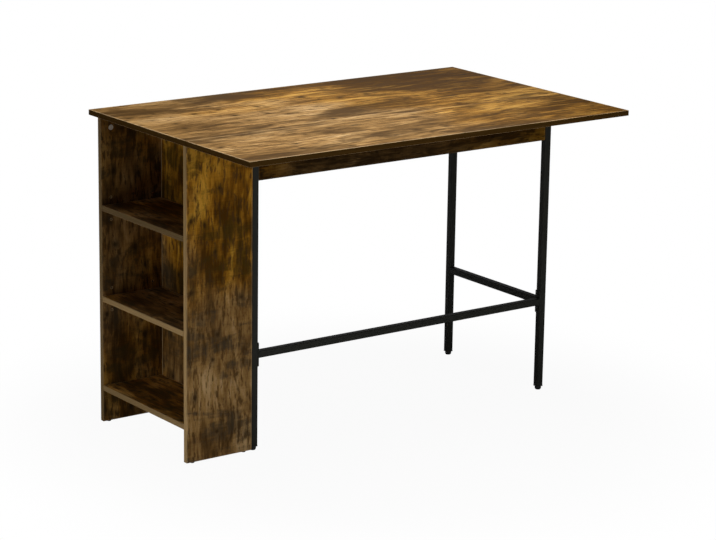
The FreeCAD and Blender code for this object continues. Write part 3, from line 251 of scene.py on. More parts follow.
class MetalSettings(bpy.types.PropertyGroup):
    """Colours of the metal, plastic and beech pieces."""

    black: Colour("Powder coat", "Colour of the black frame", (0.0215, 0.0225, 0.0160))
    zinc: Colour("Zinc", "Colour of the plated fittings", (0.52, 0.53, 0.55))
    # The cams' colour is made pale as a painted highlight, to keep them bright in the shade
    cam: Colour("Cam metal", "Colour of the cast cam locks", (0.86, 0.79, 0.69))
    plastic: Colour("Black plastic", "Colour of feet, glides and nuts", (0.016, 0.016, 0.015))
    beech: Colour("Beech", "Colour of the dowels", (0.47, 0.30, 0.15))
    coat_grain: Length("Coat grain", "Size of the powder coat's texture", 0.6 * MM, 0.05 * MM)


class ScrewSettings(bpy.types.PropertyGroup):
    """Shape of the screws and of their cross recess."""

    recess_share: Share("Recess share", "Cross's length as a share of the head's width", 0.56, 0.1, 0.9)
    recess_width: Length("Recess width", "Width of the cross's slots", 0.8 * MM, 0.1 * MM)
    recess_depth: Length("Recess depth", "Depth of the cross", 1.2 * MM, 0.1 * MM)
    crown_share: Share("Crown share", "Flat middle as a share of a pan head's width", 0.6, 0.1, 0.95)
    tip_share: Share("Tip share", "Length of the tip as a share of the shank", 0.25, 0.05, 0.9)
    blunt_share: Share("Blunt share", "End of the tip as a share of the shank's width", 0.1)
    sides: IntProperty(name="Sides", description="Sides of a screw's round", default=24, min=8)


class WeldSettings(bpy.types.PropertyGroup):
    """Sizes of the weld seams."""

    bead_radius: Length("Bead radius", "Radius of a weld seam's scales", 1.15 * MM, 0.2 * MM)
    bead_pitch: Length("Bead pitch", "Distance from one scale to the next", 1.5 * MM, 0.2 * MM)
    least_share: Share("Least scale", "Smallest scale as a share of the bead", 0.86, most=2.0)
    most_share: Share("Largest scale", "Largest scale as a share of the bead", 1.12, most=2.0)
    corner: Length("Corner", "Corner radius of the seam's path", 2 * MM)
    inset_share: Share("Inset share", "How far in from the flush faces, in bead radii", 1.15, most=5.0)


class StudioSettings(bpy.types.PropertyGroup):
    """Camera, lamps and floor."""

    floor: Colour("Floor", "Colour of the floor", (0.80, 0.80, 0.80))
    ambient: Share("Ambient", "Strength of the even light", 0.03, most=10.0)
    top_power: Power("Overhead light", "Power of the large lamp above", 25.0)
    front_power: Power("Front light", "Power of the lamp in front", 42.0)
    left_power: Power("Left light", "Power of the lamp at the shelves' open end", 14.0)
    low_power: Power("Low light", "Power of the small lamp by the shelves' foot", 1.4)
    rear_power: Power("Rear light", "Power of the lamp behind, for the sheen of the top", 3.0)
    fill_power: Power("Rear fill", "Power of the low lamp that lights the rear faces", 24.0)
    floor_white: Share("Floor whiteness", "How much of the floor the camera sees as white", 0.95)
    shadow_reach: Length("Shadow reach", "Distance where the floor turns plain white", 1.3, 0.1)
    camera_place: FloatVectorProperty(
        name="Camera place", description="Where the camera stands", subtype="XYZ", unit="LENGTH",
        default=(-4.1717, -5.7074, 2.2923), size=3,
    )
    camera_yaw: Angle("Yaw", "Camera's turn from looking along +Y towards +X", 0.6311)
    camera_pitch: Angle("Pitch", "How far the camera looks down", 0.2561)
    camera_roll: Angle("Roll", "Camera's turn about its own line of sight", 0.0151)
    focal_pixels: FloatProperty(
        name="Focal length in pixels", description="Focal length for the image's width",
        default=2595.4, min=1,
    )
    image_width: IntProperty(name="Image width", description="In pixels", default=716, min=1)


# Node trees as expressions

def usual(operation):
    """A method that works out an operation with the wire first."""
    return lambda self, *others: self.graph.maths(operation, self, *others)


def reflected(operation):
    """The same with the wire last, as in 1 - mask."""
    return lambda self, other: self.graph.maths(operation, other, self)


class Wire:
    """A node's output socket with arithmetic."""

    __add__, __radd__ = usual("ADD"), reflected("ADD")
    __sub__, __rsub__ = usual("SUBTRACT"), reflected("SUBTRACT")
    __mul__, __rmul__ = usual("MULTIPLY"), reflected("MULTIPLY")
    __truediv__, __rtruediv__ = usual("DIVIDE"), reflected("DIVIDE")
    __abs__ = usual("ABSOLUTE")
    over = usual("GREATER_THAN")
    under = usual("LESS_THAN")
    larger = usual("MAXIMUM")
    root = usual("SQRT")

    def __init__(self, graph, socket):
        self.graph = graph
        self.socket = socket

    def between(self, low, high):
        """0 at low, 1 at high, smooth between."""
        values = {"Value": self, "From Min": low, "From Max": high}
        return self.graph.node("ShaderNodeMapRange", values, interpolation_type="SMOOTHSTEP")["Result"]

    def waver(self, swing, middle=0.0):
        """A noise's ups and downs, scaled to a swing about another middle."""
        return (self - NOISE_MIDDLE) * swing + middle


class Outputs:
    """A node's outputs, read by name or number."""

    def __init__(self, graph, sockets):
        self.graph = graph
        self.sockets = sockets

    def __getitem__(self, name):
        return Wire(self.graph, self.sockets[name])


class Graph:
    """A node tree that takes nodes with their settings, values and links."""

    def __init__(self, tree):
        self.tree = tree
        self.tree.nodes.clear()

    def node(self, kind, values=None, **settings):
        """Add a node: its settings first, then the values or links of its sockets."""
        made = self.tree.nodes.new(kind)
        for name, value in settings.items():
            if name == "stops":
                self.set_stops(made.color_ramp, value)
            else:
                setattr(made, name, value)
        for name, value in (values or {}).items():
            self.put(made.inputs[name], value)
        return Outputs(self, made.outputs)

    def put(self, socket, value):
        """Give a socket a value, a colour as RGB, a wire or a list of wires."""
        for one in value if isinstance(value, list) else [value]:
            if isinstance(one, Wire):
                self.tree.links.new(one.socket, socket)
            elif socket.type == "RGBA":
                socket.default_value = (*one, 1)
            else:
                socket.default_value = one

    def set_stops(self, ramp, stops):
        for position, colour in stops:
            ramp.elements.new(position).color = (*colour, 1)
        for end in (0, -1):
            ramp.elements.remove(ramp.elements[end])

    def maths(self, operation, *values):
        return self.node("ShaderNodeMath", dict(enumerate(values)), operation=operation)["Value"]

    def vector(self, x=0.0, y=0.0, z=0.0):
        return self.node("ShaderNodeCombineXYZ", {"X": x, "Y": y, "Z": z})["Vector"]


class Surface(Graph):
    """The nodes of a material or a world."""

    def __init__(self, owner):
        owner.use_nodes = True
        super().__init__(owner.node_tree)
        self.owner = owner

    def mix(self, share, first, second, blend="MIX"):
        """Mix two colours, either given as RGB or as a wire."""
        values = {MIX_SHARE: share, MIX_FIRST: first, MIX_SECOND: second}
        return self.node("ShaderNodeMix", values, data_type="RGBA", blend_type=blend)[MIX_RESULT]

    def mix_shaders(self, share, first, second):
        return self.node("ShaderNodeMixShader", {0: share, 1: first, 2: second})["Shader"]

    def object_place(self):
        return self.node("ShaderNodeTexCoord")["Object"]

    def seen_directly(self):
        """1 for what the camera sees, 0 for what lights or mirrors."""
        return self.node("ShaderNodeLightPath")["Is Camera Ray"]

    def parts(self, vector):
        made = self.node("ShaderNodeSeparateXYZ", {"Vector": vector})
        return {"x": made["X"], "y": made["Y"], "z": made["Z"]}

    def stretched(self, vector, x, y, z):
        """A place with each of its axes scaled."""
        parts = self.parts(vector)
        return self.vector(parts["x"] * x, parts["y"] * y, parts["z"] * z)

    def noise(self, vector, scale=1.0, detail=3.0, roughness=0.5, distortion=0.0):
        values = {
            "Vector": vector, "Scale": scale, "Detail": detail,
            "Roughness": roughness, "Distortion": distortion,
        }
        return self.node("ShaderNodeTexNoise", values)["Fac"]

    def ramp(self, factor, stops):
        return self.node("ShaderNodeValToRGB", {"Fac": factor}, stops=stops)["Color"]

    def bump(self, height, distance, strength):
        values = {"Height": height, "Distance": distance, "Strength": strength}
        return self.node("ShaderNodeBump", values)["Normal"]

    def finish(self, **sockets):
        """A Principled surface with its sockets named with underscores for spaces."""
        values = {name.replace("_", " "): value for name, value in sockets.items()}
        surface = self.node("ShaderNodeBsdfPrincipled", values)["BSDF"]
        return self.close("ShaderNodeOutputMaterial", surface)

    def close(self, kind, surface):
        self.node(kind, {"Surface": surface})
        return self.owner


def new_surface(name):
    return Surface(bpy.data.materials.new(name))


class Shape(Graph):
    """A geometry tree with named inputs."""

    def __init__(self, name, sizes, counts=()):
        super().__init__(bpy.data.node_groups.new(name, "GeometryNodeTree"))
        socket = self.tree.interface.new_socket
        for way in ("INPUT", "OUTPUT"):
            socket("Geometry", in_out=way, socket_type="NodeSocketGeometry")
        kinds = {**dict.fromkeys(sizes, "Float"), **dict.fromkeys(counts, "Int"), "Material": "Material"}
        self.names = {
            label: socket(label, in_out="INPUT", socket_type="NodeSocket%s" % kind).identifier
            for label, kind in kinds.items()
        }
        self.given = self.node("NodeGroupInput")

    def chance(self, low, high, seed):
        """A random number for each point."""
        values = {RANDOM_LOW: low, RANDOM_HIGH: high, "Seed": seed}
        return self.node("FunctionNodeRandomValue", values, data_type="FLOAT")[RANDOM_RESULT]

    def cylinder(self, sides, radius, height, middle):
        return self.raised("Cylinder", middle, {"Vertices": sides, "Radius": radius, "Depth": height})

    def cone(self, sides, low_radius, high_radius, height, low):
        return self.raised("Cone", low, {
            "Vertices": sides, "Radius Top": high_radius, "Radius Bottom": low_radius, "Depth": height,
        })

    def block(self, x, y, z, middle):
        return self.raised("Cube", middle, {"Size": self.vector(x, y, z)})

    def raised(self, kind, height, sizes):
        """A simple solid moved up."""
        mesh = self.node("GeometryNodeMesh%s" % kind, sizes)["Mesh"]
        values = {"Geometry": mesh, "Translation": self.vector(z=height)}
        return self.node("GeometryNodeTransform", values)["Geometry"]

    def joined(self, meshes):
        return self.node("GeometryNodeMeshBoolean", {"Mesh 2": meshes}, operation="UNION")["Mesh"]

    def cut(self, mesh, cutters):
        values = {"Mesh 1": mesh, "Mesh 2": cutters}
        return self.node("GeometryNodeMeshBoolean", values, operation="DIFFERENCE")["Mesh"]

    def placed(self, points, instance, **values):
        """One instance at each point."""
        values.update(Points=points, Instance=instance)
        return self.node("GeometryNodeInstanceOnPoints", values)["Instances"]

    def close(self, geometry):
        """Realize the instances, set the material and end the tree."""
        real = self.node("GeometryNodeRealizeInstances", {"Geometry": geometry})["Geometry"]
        values = {"Geometry": real, "Material": self.given["Material"]}
        shown = self.node("GeometryNodeSetMaterial", values)["Geometry"]
        self.node("NodeGroupOutput", {"Geometry": shown})


# Reading places from the frame

def solids_of(node):
    """The separate solids of a CAD node, as lists of vertex places."""
    mesh = bmesh.new()
    mesh.from_mesh(NODES[node].data)
    bmesh.ops.remove_doubles(mesh, verts=mesh.verts, dist=0.01 * MM)
    seen = set()
    solids = []
    for first in mesh.verts:
        waiting = [first]
        places = []
        while waiting:
            vertex = waiting.pop()
            if vertex not in seen:
                seen.add(vertex)
                places.append(vertex.co.copy())
                waiting += [edge.other_vert(vertex) for edge in vertex.link_edges]
        if places:
            solids.append(places)
    mesh.free()
    return solids


def pin_rows():
    """Each adjustable shelf's row of pins: its height, its middle along X and the pins' reach from it."""
    rows = {}
    for solid in solids_of("shelf_pins"):
        middle = sum(solid, Vector()) / len(solid)
        rows.setdefault(round(middle.z, LEVEL_DECIMALS), []).append(middle)
    for pins in rows.values():
        height = sum(pin.z for pin in pins) / len(pins)
        first, last = min(pin.x for pin in pins), max(pin.x for pin in pins)
        yield height, (first + last) / 2, (last - first) / 2


def longest_axis(low, high):
    return max(range(3), key=lambda axis: high[axis] - low[axis])


def screw_facts(places):
    """A screw's seat under its head, the way it looks out, and its sizes by the tree's input names."""
    low, high = (Vector(pick(place[axis] for place in places) for axis in range(3)) for pick in (min, max))
    middle = (low + high) / 2
    run = longest_axis(low, high)

    def spread(place):
        gap = place - middle
        gap[run] = 0
        return gap.length

    def level(place):
        return (place - middle).dot(out)

    widest = max(spread(place) for place in places)
    rim = [place for place in places if spread(place) > widest * RIM_SHARE]
    out = Vector()
    out[run] = 1 if sum(place[run] for place in rim) / len(rim) > middle[run] else -1
    head = min(level(place) for place in rim)
    return middle + out * head, out, {
        "Head radius": widest,
        "Head height": max(level(place) for place in places) - head,
        "Shank radius": max(spread(place) for place in places if level(place) < head - UNDER_HEAD),
        "Length": head - min(level(place) for place in places),
    }


def end_loops(node, inset):
    """The outlines of a rail's two ends, four corners each, with the flush sides moved in."""
    low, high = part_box(node)
    run = longest_axis(low, high)
    one, two = [index for index in range(3) if index != run]
    left, right = low[one] + inset, high[one] - inset
    for end in (low[run], high[run]):
        loop = []
        for a, b in ((left, low[two]), (right, low[two]), (right, high[two]), (left, high[two])):
            corner = Vector()
            corner[run], corner[one], corner[two] = end, a, b
            loop.append(corner)
        yield loop


# Wood print

class BoardPrint:
    """Rustic wood print on the two faces of a board, and its band on the edges."""

    # Slow waves that bend the grain lines: how many to a metre, and how far they push a line
    SWAYS_ALONG, SWAYS_ACROSS, SWAY_REACH = 4.0, 9.0, 35 * MM
    # Saw marks across the grain, to a metre, and how strongly they show
    SAW_MARKS, SAW_WAVES, SAW_STRENGTH = 240.0, 9.0, 0.05

    # Knots: where they lie in the pattern, their width to their length, how ragged they are, the
    # share of places without one, and how dark their hearts are
    KNOT_LANE, KNOT_SQUEEZE, KNOT_RAGGED, KNOTLESS, KNOT_DARK = 1.7, 0.75, 0.2, 0.5, 0.6

    # The print's tones: where each colour of the ramp stands, the middle, and the contrast, which
    # grows with the fine lines and in golden stretches
    TONE_STOPS = ((0.42, "umber"), (0.48, "brown"), (0.535, "amber"), (0.61, "straw"))
    TONE_MIDDLE = 0.505
    PATCH_SHARE = 0.68
    CONTRAST, FINE_CONTRAST = 0.72, 1.2
    DULL_CONTRAST, GOLDEN_CONTRAST = 0.78, 0.25

    # Clouds by the board's band: their colour, how strong they are and where they start to show
    CLOUDS = {"pale": ("cloud", 0.84, 0.48), "dark": ("umber", 0.97, 0.46)}
    CLOUD_RISE, CLOUD_FRAY, CLOUD_STREAKS = 0.13, 0.30, 0.38

    # Where each part of the print starts to show and where it shows in full
    GOLDEN = (0.38, 0.60)
    LIGHT_STREAKS = (0.46, 0.64)
    DASHES = (0.52, 0.63)
    PORES = (0.60, 0.74)
    HEARTS = (0.02, 0.11)
    HALOS = (0.04, 0.28)
    ARRIS_LIGHT_STREAKS = (0.3, 0.6)
    BAND_LINES = (0.35, 0.70)

    # How strongly each is seen
    DASH_STRENGTH, PORE_STRENGTH, HEART_STRENGTH, HALO_STRENGTH = 0.8, 0.5, 0.85, 0.6
    RIM_STRENGTH = 0.8

    # Lighter arrises, rubbed print and a painted highlight: the share that is even, and what is left of it
    # at the top's seam
    EVEN_RUB, SEAM_RUB = 0.5, 0.25

    # Edge band: its grit and its lines to a metre, the height of a line, and its darker lines
    GRIT, BAND_WAVES, BAND_LINE_HEIGHT, GRIT_SHARE, BAND_DARK = 900.0, 4.0, 2.2 * MM, 0.25, 0.70

    # Roughness that the streaks and the edge band add, and the relief's strength and fibres
    STREAK_ROUGHNESS, BAND_ROUGHNESS, BUMP, FIBRE_SHARE = 0.16, 0.08, 0.5, 0.55

    def __init__(self, node, wood):
        self.node, self.wood = node, wood
        self.board = board = BOARDS[node]
        self.low, self.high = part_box(node)
        self.graph = new_surface("Print of %s" % node.replace("_", " "))
        self.place = self.graph.parts(self.graph.object_place())
        self.across = next(axis for axis in AXIS if axis not in (board.grain, board.thin))
        self.along, self.depth = self.place[board.grain], self.place[board.thin]
        self.side = self.place[self.across]
        self.bent = self.side + self.sway() * self.SWAY_REACH
        self.streaks = self.field("streak", lane=3.1, distortion=0.2)
        self.fibres = self.field("fibre", lane=7.7, roughness=0.6)
        self.pores = self.field("pore", lane=19.9, detail=2.0)

    def sway(self):
        place = self.graph.vector(
            self.along * self.SWAYS_ALONG + self.board.place,
            self.side * self.SWAYS_ACROSS, self.depth * self.SWAYS_ACROSS,
        )
        return self.graph.noise(place, detail=2.0) - NOISE_MIDDLE

    def field(self, name, broad=1.0, spread=1.0, lane=0.0, **values):
        """Noise stretched along the grain, with its size from the settings and a lane of its own."""
        length = getattr(self.wood, "%s_length" % name) * broad / spread
        width = getattr(self.wood, "%s_width" % name) * broad * spread
        run = self.along / (length * self.board.stretch) + self.board.place + lane
        spot = self.graph.vector(run, self.bent / width, self.depth / width + self.board.place)
        return self.graph.noise(spot, **values)

    def toned(self, colour):
        return shaded(colour, self.board.tone)

    def drifts(self):
        """How the board gets more golden along and across its grain, away from the table's middle; on the
        top this is a painted sheen, greyer towards its near left.
        """
        for axis, growth in ((self.board.grain, self.board.along), (self.across, self.board.across)):
            if growth:
                yield (self.place[axis] - TABLE_MIDDLE[AXIS[axis]]) * growth

    def knots(self):
        """Dark hearts with a soft halo, at random places."""
        spacing = self.wood.knot_spacing
        spot = self.graph.vector(
            self.along / spacing + self.board.place * self.KNOT_LANE,
            self.bent / (spacing * self.KNOT_SQUEEZE) + self.board.place,
        )
        values = {"Vector": spot, "Scale": 1.0, "Randomness": 1.0}
        cells = self.graph.node("ShaderNodeTexVoronoi", values, feature="F1", voronoi_dimensions="2D")
        ragged = cells["Distance"] + self.streaks.waver(self.KNOT_RAGGED)
        chosen = self.graph.parts(cells["Color"])["x"].over(self.KNOTLESS)
        return [(1.0 - ragged.between(*shows)) * chosen for shows in (self.HEARTS, self.HALOS)]

    def tones(self, golden):
        """The print's light and dark before its clouds and knots."""
        board = self.board
        patches = self.field("patch", board.broad, detail=4.0, roughness=0.55, distortion=0.3)
        marks = self.graph.vector(
            self.along * self.SAW_MARKS, self.side * self.SAW_WAVES + board.place, self.depth
        )
        saw = self.graph.noise(marks, detail=2.0)
        wide = 1.0 - board.fine
        tone = patches * (wide * self.PATCH_SHARE) + self.streaks * (wide * (1.0 - self.PATCH_SHARE))
        tone = tone + self.fibres * board.fine + saw.waver(self.SAW_STRENGTH)
        contrast = self.CONTRAST + board.fine * self.FINE_CONTRAST
        swing = golden * self.GOLDEN_CONTRAST + self.DULL_CONTRAST
        tone = (tone - NOISE_MIDDLE) * contrast * swing + self.TONE_MIDDLE
        stops = [(stop, self.toned(getattr(self.wood, name))) for stop, name in self.TONE_STOPS]
        return self.graph.ramp(tone, stops)

    def clouded(self, colour, clouds, halo):
        """Weathered clouds and the knots' halos over the print."""
        haze, strength, start = self.CLOUDS[self.board.band]
        frayed = clouds + self.fibres.waver(self.CLOUD_FRAY)
        cover = frayed.between(start, start + self.CLOUD_RISE) * strength
        cover = cover * (1.0 - self.streaks.between(*self.LIGHT_STREAKS) * self.CLOUD_STREAKS)
        haze_colour = self.toned(getattr(self.wood, haze))
        return self.graph.mix(cover.larger(halo * self.HALO_STRENGTH), colour, haze_colour)

    def printed(self):
        """The print on the board's two faces."""
        board, wood, mix = self.board, self.wood, self.graph.mix
        warmth = self.field("golden", lane=15.9, detail=2.0)
        clouds = self.field(
            "cloud", board.broad, board.spread, lane=11.3, detail=7.0, roughness=0.64, distortion=0.45
        )
        # On the top this drift is painted sheen, and its clouds gather into painted shade
        for drift in self.drifts():
            warmth = warmth + drift
            clouds = clouds + drift * board.cloud_shade_gather
        dashes = self.field("dash", lane=17.3, roughness=0.6, distortion=0.2)
        heart, halo = self.knots()
        golden = warmth.between(*self.GOLDEN)
        umber = self.toned(wood.umber)
        colour = self.clouded(self.tones(golden), clouds, halo)
        colour = mix(golden * board.warm, colour, wood.warm_tint, "MULTIPLY")
        colour = mix(dashes.between(*self.DASHES) * self.DASH_STRENGTH, colour, umber)
        colour = mix(heart * self.HEART_STRENGTH, colour, shaded(umber, self.KNOT_DARK))
        return mix(self.pores.between(*self.PORES) * self.PORE_STRENGTH, colour, umber)

    def rubbed_and_highlit(self, colour):
        """The print is painted lighter along the arrises, as rubbed print and as a painted highlight, but
        hardly where the top's halves meet.
        """
        board, reach = self.board, self.wood.rub_width
        lines = []
        for axis in (board.grain, self.across):
            first, last = self.low[AXIS[axis]], self.high[AXIS[axis]]
            gap = (last - first) / 2 - abs(self.place[axis] - (first + last) / 2)
            lines.append(1.0 - gap.between(0.0, reach))
        rub_and_highlight = lines[0].larger(lines[1])
        if board is TOP:
            seam = abs(self.place["y"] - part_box("drop_leaf")[1].y)
            rub_and_highlight = rub_and_highlight * (seam.between(reach, reach * 2) * (1.0 - self.SEAM_RUB) + self.SEAM_RUB)
        worn = self.streaks.between(*self.ARRIS_LIGHT_STREAKS) * (1.0 - self.EVEN_RUB) + self.EVEN_RUB
        return self.graph.mix(rub_and_highlight * worn * board.rub_and_highlight, colour, self.toned(self.wood.bare_and_highlight))

    def chipped_and_lit_rims(self, colour):
        """The print is made pale round the holes for the shelf pins, on the side that faces the shelves:
        chipped print and a painted highlight of the holes' lit rims.
        """
        number = AXIS[self.board.thin]
        core = (self.low[number] + self.high[number]) / 2
        shelves = sum(corner[number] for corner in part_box("upper_shelf")) / 2
        inner = self.depth.over(core) if shelves > core else self.depth.under(core)
        for height, middle, reach in pin_rows():
            rise = abs(abs(self.place["z"] - height) - PIN_PITCH)
            run = abs(abs(self.place["x"] - middle) - reach)
            rim = (rise * rise + run * run).root().under(self.wood.lit_hole_rim)
            colour = self.graph.mix(rim * inner * self.RIM_STRENGTH, colour, self.toned(self.wood.bare_and_highlight))
        return colour

    def banded(self):
        """The edge band with faint lines along it, made lighter or darker per board as painted light and
        shade.
        """
        board, graph = self.board, self.graph
        band = shaded(self.wood.pale_band if board.band == "pale" else self.wood.dark_band, board.edge)
        grit = graph.noise(graph.vector(*(part * self.GRIT for part in self.place.values())), detail=2.0)
        run = graph.vector(
            self.along * self.BAND_WAVES + board.place, self.side * self.BAND_WAVES,
            self.depth / self.BAND_LINE_HEIGHT,
        )
        lines = grit * self.GRIT_SHARE + graph.noise(run, roughness=0.6) * (1.0 - self.GRIT_SHARE)
        return graph.mix(lines.between(*self.BAND_LINES), shaded(band, self.BAND_DARK), band)

    def on_edge(self):
        """1 on the board's edges, 0 on its two faces."""
        number, edge = AXIS[self.board.thin], self.wood.band_edge
        return self.depth.over(self.low[number] + edge) * self.depth.under(self.high[number] - edge)

    def material(self):
        on_edge = self.on_edge()
        colour = self.rubbed_and_highlit(self.printed())
        if self.node in DRILLED_BOARDS:
            colour = self.chipped_and_lit_rims(colour)
        relief = self.fibres * self.FIBRE_SHARE + self.pores * (1.0 - self.FIBRE_SHARE)
        rough = self.streaks.waver(self.STREAK_ROUGHNESS, self.wood.roughness)
        return self.graph.finish(
            Base_Color=self.graph.mix(on_edge, colour, self.banded()),
            Roughness=rough + on_edge * self.BAND_ROUGHNESS,
            Specular_IOR_Level=self.wood.gloss,
            Normal=self.graph.bump(relief, self.wood.relief, self.BUMP),
        )


# Plain finishes

def shaded(colour, share):
    """A colour made darker or lighter."""
    return tuple(channel * share for channel in colour)


def powder_coat(graph, metal):
    """Matte black coat with a fine orange-peel texture."""
    place = graph.object_place()
    peel = graph.noise(place, scale=1.0 / metal.coat_grain, roughness=0.55)
    worn = graph.noise(place, scale=9.0, roughness=0.6)
    return graph.finish(
        Base_Color=graph.mix(worn.between(low=0.35, high=0.7), shaded(metal.black, share=0.8), metal.black),
        Roughness=worn.waver(swing=0.12, middle=0.46),
        Specular_IOR_Level=0.28,
        Normal=graph.bump(peel, distance=0.05 * MM, strength=0.55),
    )


def bare_metal(graph, colour, roughness, metallic):
    """Metal with faint cloudy patches and fine scratches along Y and Z."""
    place = graph.object_place()
    cloudy = graph.noise(place, scale=60.0, detail=4.0, roughness=0.6, distortion=0.4)
    scratches = graph.noise(graph.stretched(place, x=3000.0, y=180.0, z=180.0), detail=2.0)
    return graph.finish(
        Base_Color=graph.mix(cloudy.between(low=0.35, high=0.65), shaded(colour, share=0.78), colour),
        Metallic=metallic,
        Roughness=cloudy.waver(swing=0.16, middle=roughness),
        Normal=graph.bump(scratches, distance=0.02 * MM, strength=0.35),
    )


def zinc_plate(graph, metal):
    """Satin zinc plating."""
    return bare_metal(graph, metal.zinc, roughness=0.30, metallic=1.0)


def cast_metal(graph, metal):
    """Dull cast metal of the cam locks, pale and hardly metallic as a painted highlight that keeps them
    bright in the shade.
    """
    return bare_metal(graph, metal.cam, roughness=0.48, metallic=0.1)


def moulded_plastic(graph, metal):
    """Black plastic with the fine sparkle of its mould."""
    place = graph.object_place()
    grain = graph.noise(place, scale=2600.0, detail=2.0)
    scuffs = graph.noise(place, scale=140.0, detail=4.0, roughness=0.65, distortion=0.3)
    return graph.finish(
        Base_Color=graph.mix(
            scuffs.between(low=0.45, high=0.75), metal.plastic, shaded(metal.plastic, share=1.9)
        ),
        Roughness=scuffs.waver(swing=0.2, middle=0.5),
        Normal=graph.bump(grain, distance=0.04 * MM, strength=0.5),
    )


def beech_wood(graph, metal):
    """Plain beech with short flecks, for the dowels."""
    place = graph.stretched(graph.object_place(), x=1500.0, y=120.0, z=1500.0)
    flecks = graph.noise(place, roughness=0.6)
    return graph.finish(
        Base_Color=graph.mix(
            flecks.between(low=0.4, high=0.65), metal.beech, shaded(metal.beech, share=0.72)
        ),
        Roughness=flecks.waver(swing=0.1, middle=0.6),
        Normal=graph.bump(flecks, distance=0.05 * MM, strength=0.5),
    )


FINISHES = {
    "black": ("Black powder coat", powder_coat),
    "zinc": ("Zinc plated steel", zinc_plate),
    "cast": ("Cast cam metal", cast_metal),
    "plastic": ("Black moulded plastic", moulded_plastic),
    "beech": ("Beech", beech_wood),
}


def finish_of(name):
    """A shared material by its short name, made once."""
    label, make = FINISHES[name]
    made = bpy.data.materials.get(label)
    return made or make(new_surface(label), bpy.context.scene.table_metal)


def dress(node, material):
    """Give a CAD node one material."""
    mesh = NODES[node].data
    mesh.materials.clear()
    mesh.materials.append(material)


def dress_slot(slot, finish):
    """Give the nodes of a material slot their finish, apart from the screws, which are replaced."""
    for node in NODES:
        if SLOTS[node] == slot and node not in SCREWS:
            dress(node, finish_of("cast" if node == CAST_NODE else finish))


# Shapes that repeat

def screw_tree(countersunk):
    """Screws with a cross recess, one at each point, turned to the point's own way out."""
    build = Shape("Countersunk screws" if countersunk else "Pan head screws", (
        "Head radius", "Head height", "Shank radius", "Length", "Crown share", "Tip share",
        "Blunt share", "Recess length", "Recess width", "Recess depth",
    ), counts=("Sides",))
    given = build.given
    sides, length = given["Sides"], given["Length"]
    head, height = given["Head radius"], given["Head height"]
    shank, crown = given["Shank radius"], given["Crown share"]
    tip = length * given["Tip share"]
    stem = length - tip
    point = build.cone(sides, shank * given["Blunt share"], shank, tip, length * -1.0)
    if countersunk:
        rod = build.cylinder(sides, shank, stem, stem * -0.5)
        # The cone slopes at 45 degrees
        sunk = head - shank
        shape = build.joined([rod, point, build.cone(sides, shank, head, sunk, sunk * -1.0)])
        top = 0.0
    else:
        # The rod reaches halfway up the head
        rod = build.cylinder(sides, shank, stem + height * 0.5, height * 0.25 - stem * 0.5)
        rim = height * crown
        drum = build.cylinder(sides, head, rim, rim * 0.5)
        shape = build.joined([rod, point, drum, build.cone(sides, head, head * crown, height - rim, rim)])
        top = height
    long, wide, tall = given["Recess length"], given["Recess width"], given["Recess depth"] * 2.0
    whole = build.cut(shape, [build.block(long, wide, tall, top), build.block(wide, long, tall, top)])
    way = build.node("GeometryNodeInputNamedAttribute", {"Name": "way"}, data_type="FLOAT_VECTOR")
    facing = build.node("FunctionNodeAlignRotationToVector", {"Vector": way["Attribute"]}, axis="Z")
    angle = build.chance(0.0, math.pi / 2, seed=7)
    turned = build.node("FunctionNodeAxisAngleToRotation", {"Axis": (0.0, 0.0, 1.0), "Angle": angle})
    values = {"Rotation": facing["Rotation"], "Rotate By": turned["Rotation"]}
    rotation = build.node("FunctionNodeRotateRotation", values, rotation_space="LOCAL")["Rotation"]
    build.close(build.placed(given["Geometry"], whole, Rotation=rotation))
    return build


def weld_tree():
    """A row of overlapping weld scales along each closed loop of edges."""
    build = Shape("Weld seams", ("Bead radius", "Bead pitch", "Least share", "Most share", "Corner"))
    given = build.given
    line = build.node("GeometryNodeMeshToCurve", {"Mesh": given["Geometry"]})["Curve"]
    corners = {"Curve": line, "Radius": given["Corner"]}
    rounded = build.node("GeometryNodeFilletCurve", corners, mode="BEZIER")["Curve"]
    steps = {"Curve": rounded, "Length": given["Bead pitch"]}
    even = build.node("GeometryNodeResampleCurve", steps, mode="LENGTH")["Curve"]
    ball = build.node("GeometryNodeMeshIcoSphere", {"Radius": given["Bead radius"], "Subdivisions": 2})
    scale = build.chance(given["Least share"], given["Most share"], seed=11)
    scales = build.placed(even, ball["Mesh"], Scale=scale)
    build.close(build.node("GeometryNodeSetShadeSmooth", {"Geometry": scales})["Geometry"])
    return build


def added(name, data):
    """A new object in the scene."""
    made = bpy.data.objects.new(name, data)
    bpy.context.scene.collection.objects.link(made)
    return made


def grown(name, start_mesh, build, settings, values):
    """Run a tree on a start mesh into a plain mesh; an input without a value takes its setting."""
    seed = added("%s start" % name, start_mesh)
    modifier = seed.modifiers.new(name, "NODES")
    modifier.node_group = build.tree
    for label, identifier in build.names.items():
        setting = label.lower().replace(" ", "_")
        modifier[identifier] = values[label] if label in values else getattr(settings, setting)
    bpy.context.view_layer.update()
    shown = seed.evaluated_get(bpy.context.evaluated_depsgraph_get())
    mesh = bpy.data.meshes.new_from_object(shown)
    mesh.name = name
    seed.modifiers.remove(modifier)
    bpy.data.objects.remove(seed)
    if not mesh.polygons:
        raise RuntimeError("%s came out empty" % name)
    return added(name, mesh)


def point_mesh(name, places, ways):
    """Loose points, each with its way out."""
    mesh = bpy.data.meshes.new(name)
    mesh.from_pydata(places, [], [])
    attribute = mesh.attributes.new("way", "FLOAT_VECTOR", "POINT")
    for index, way in enumerate(ways):
        attribute.data[index].vector = way
    return mesh


# Pieces

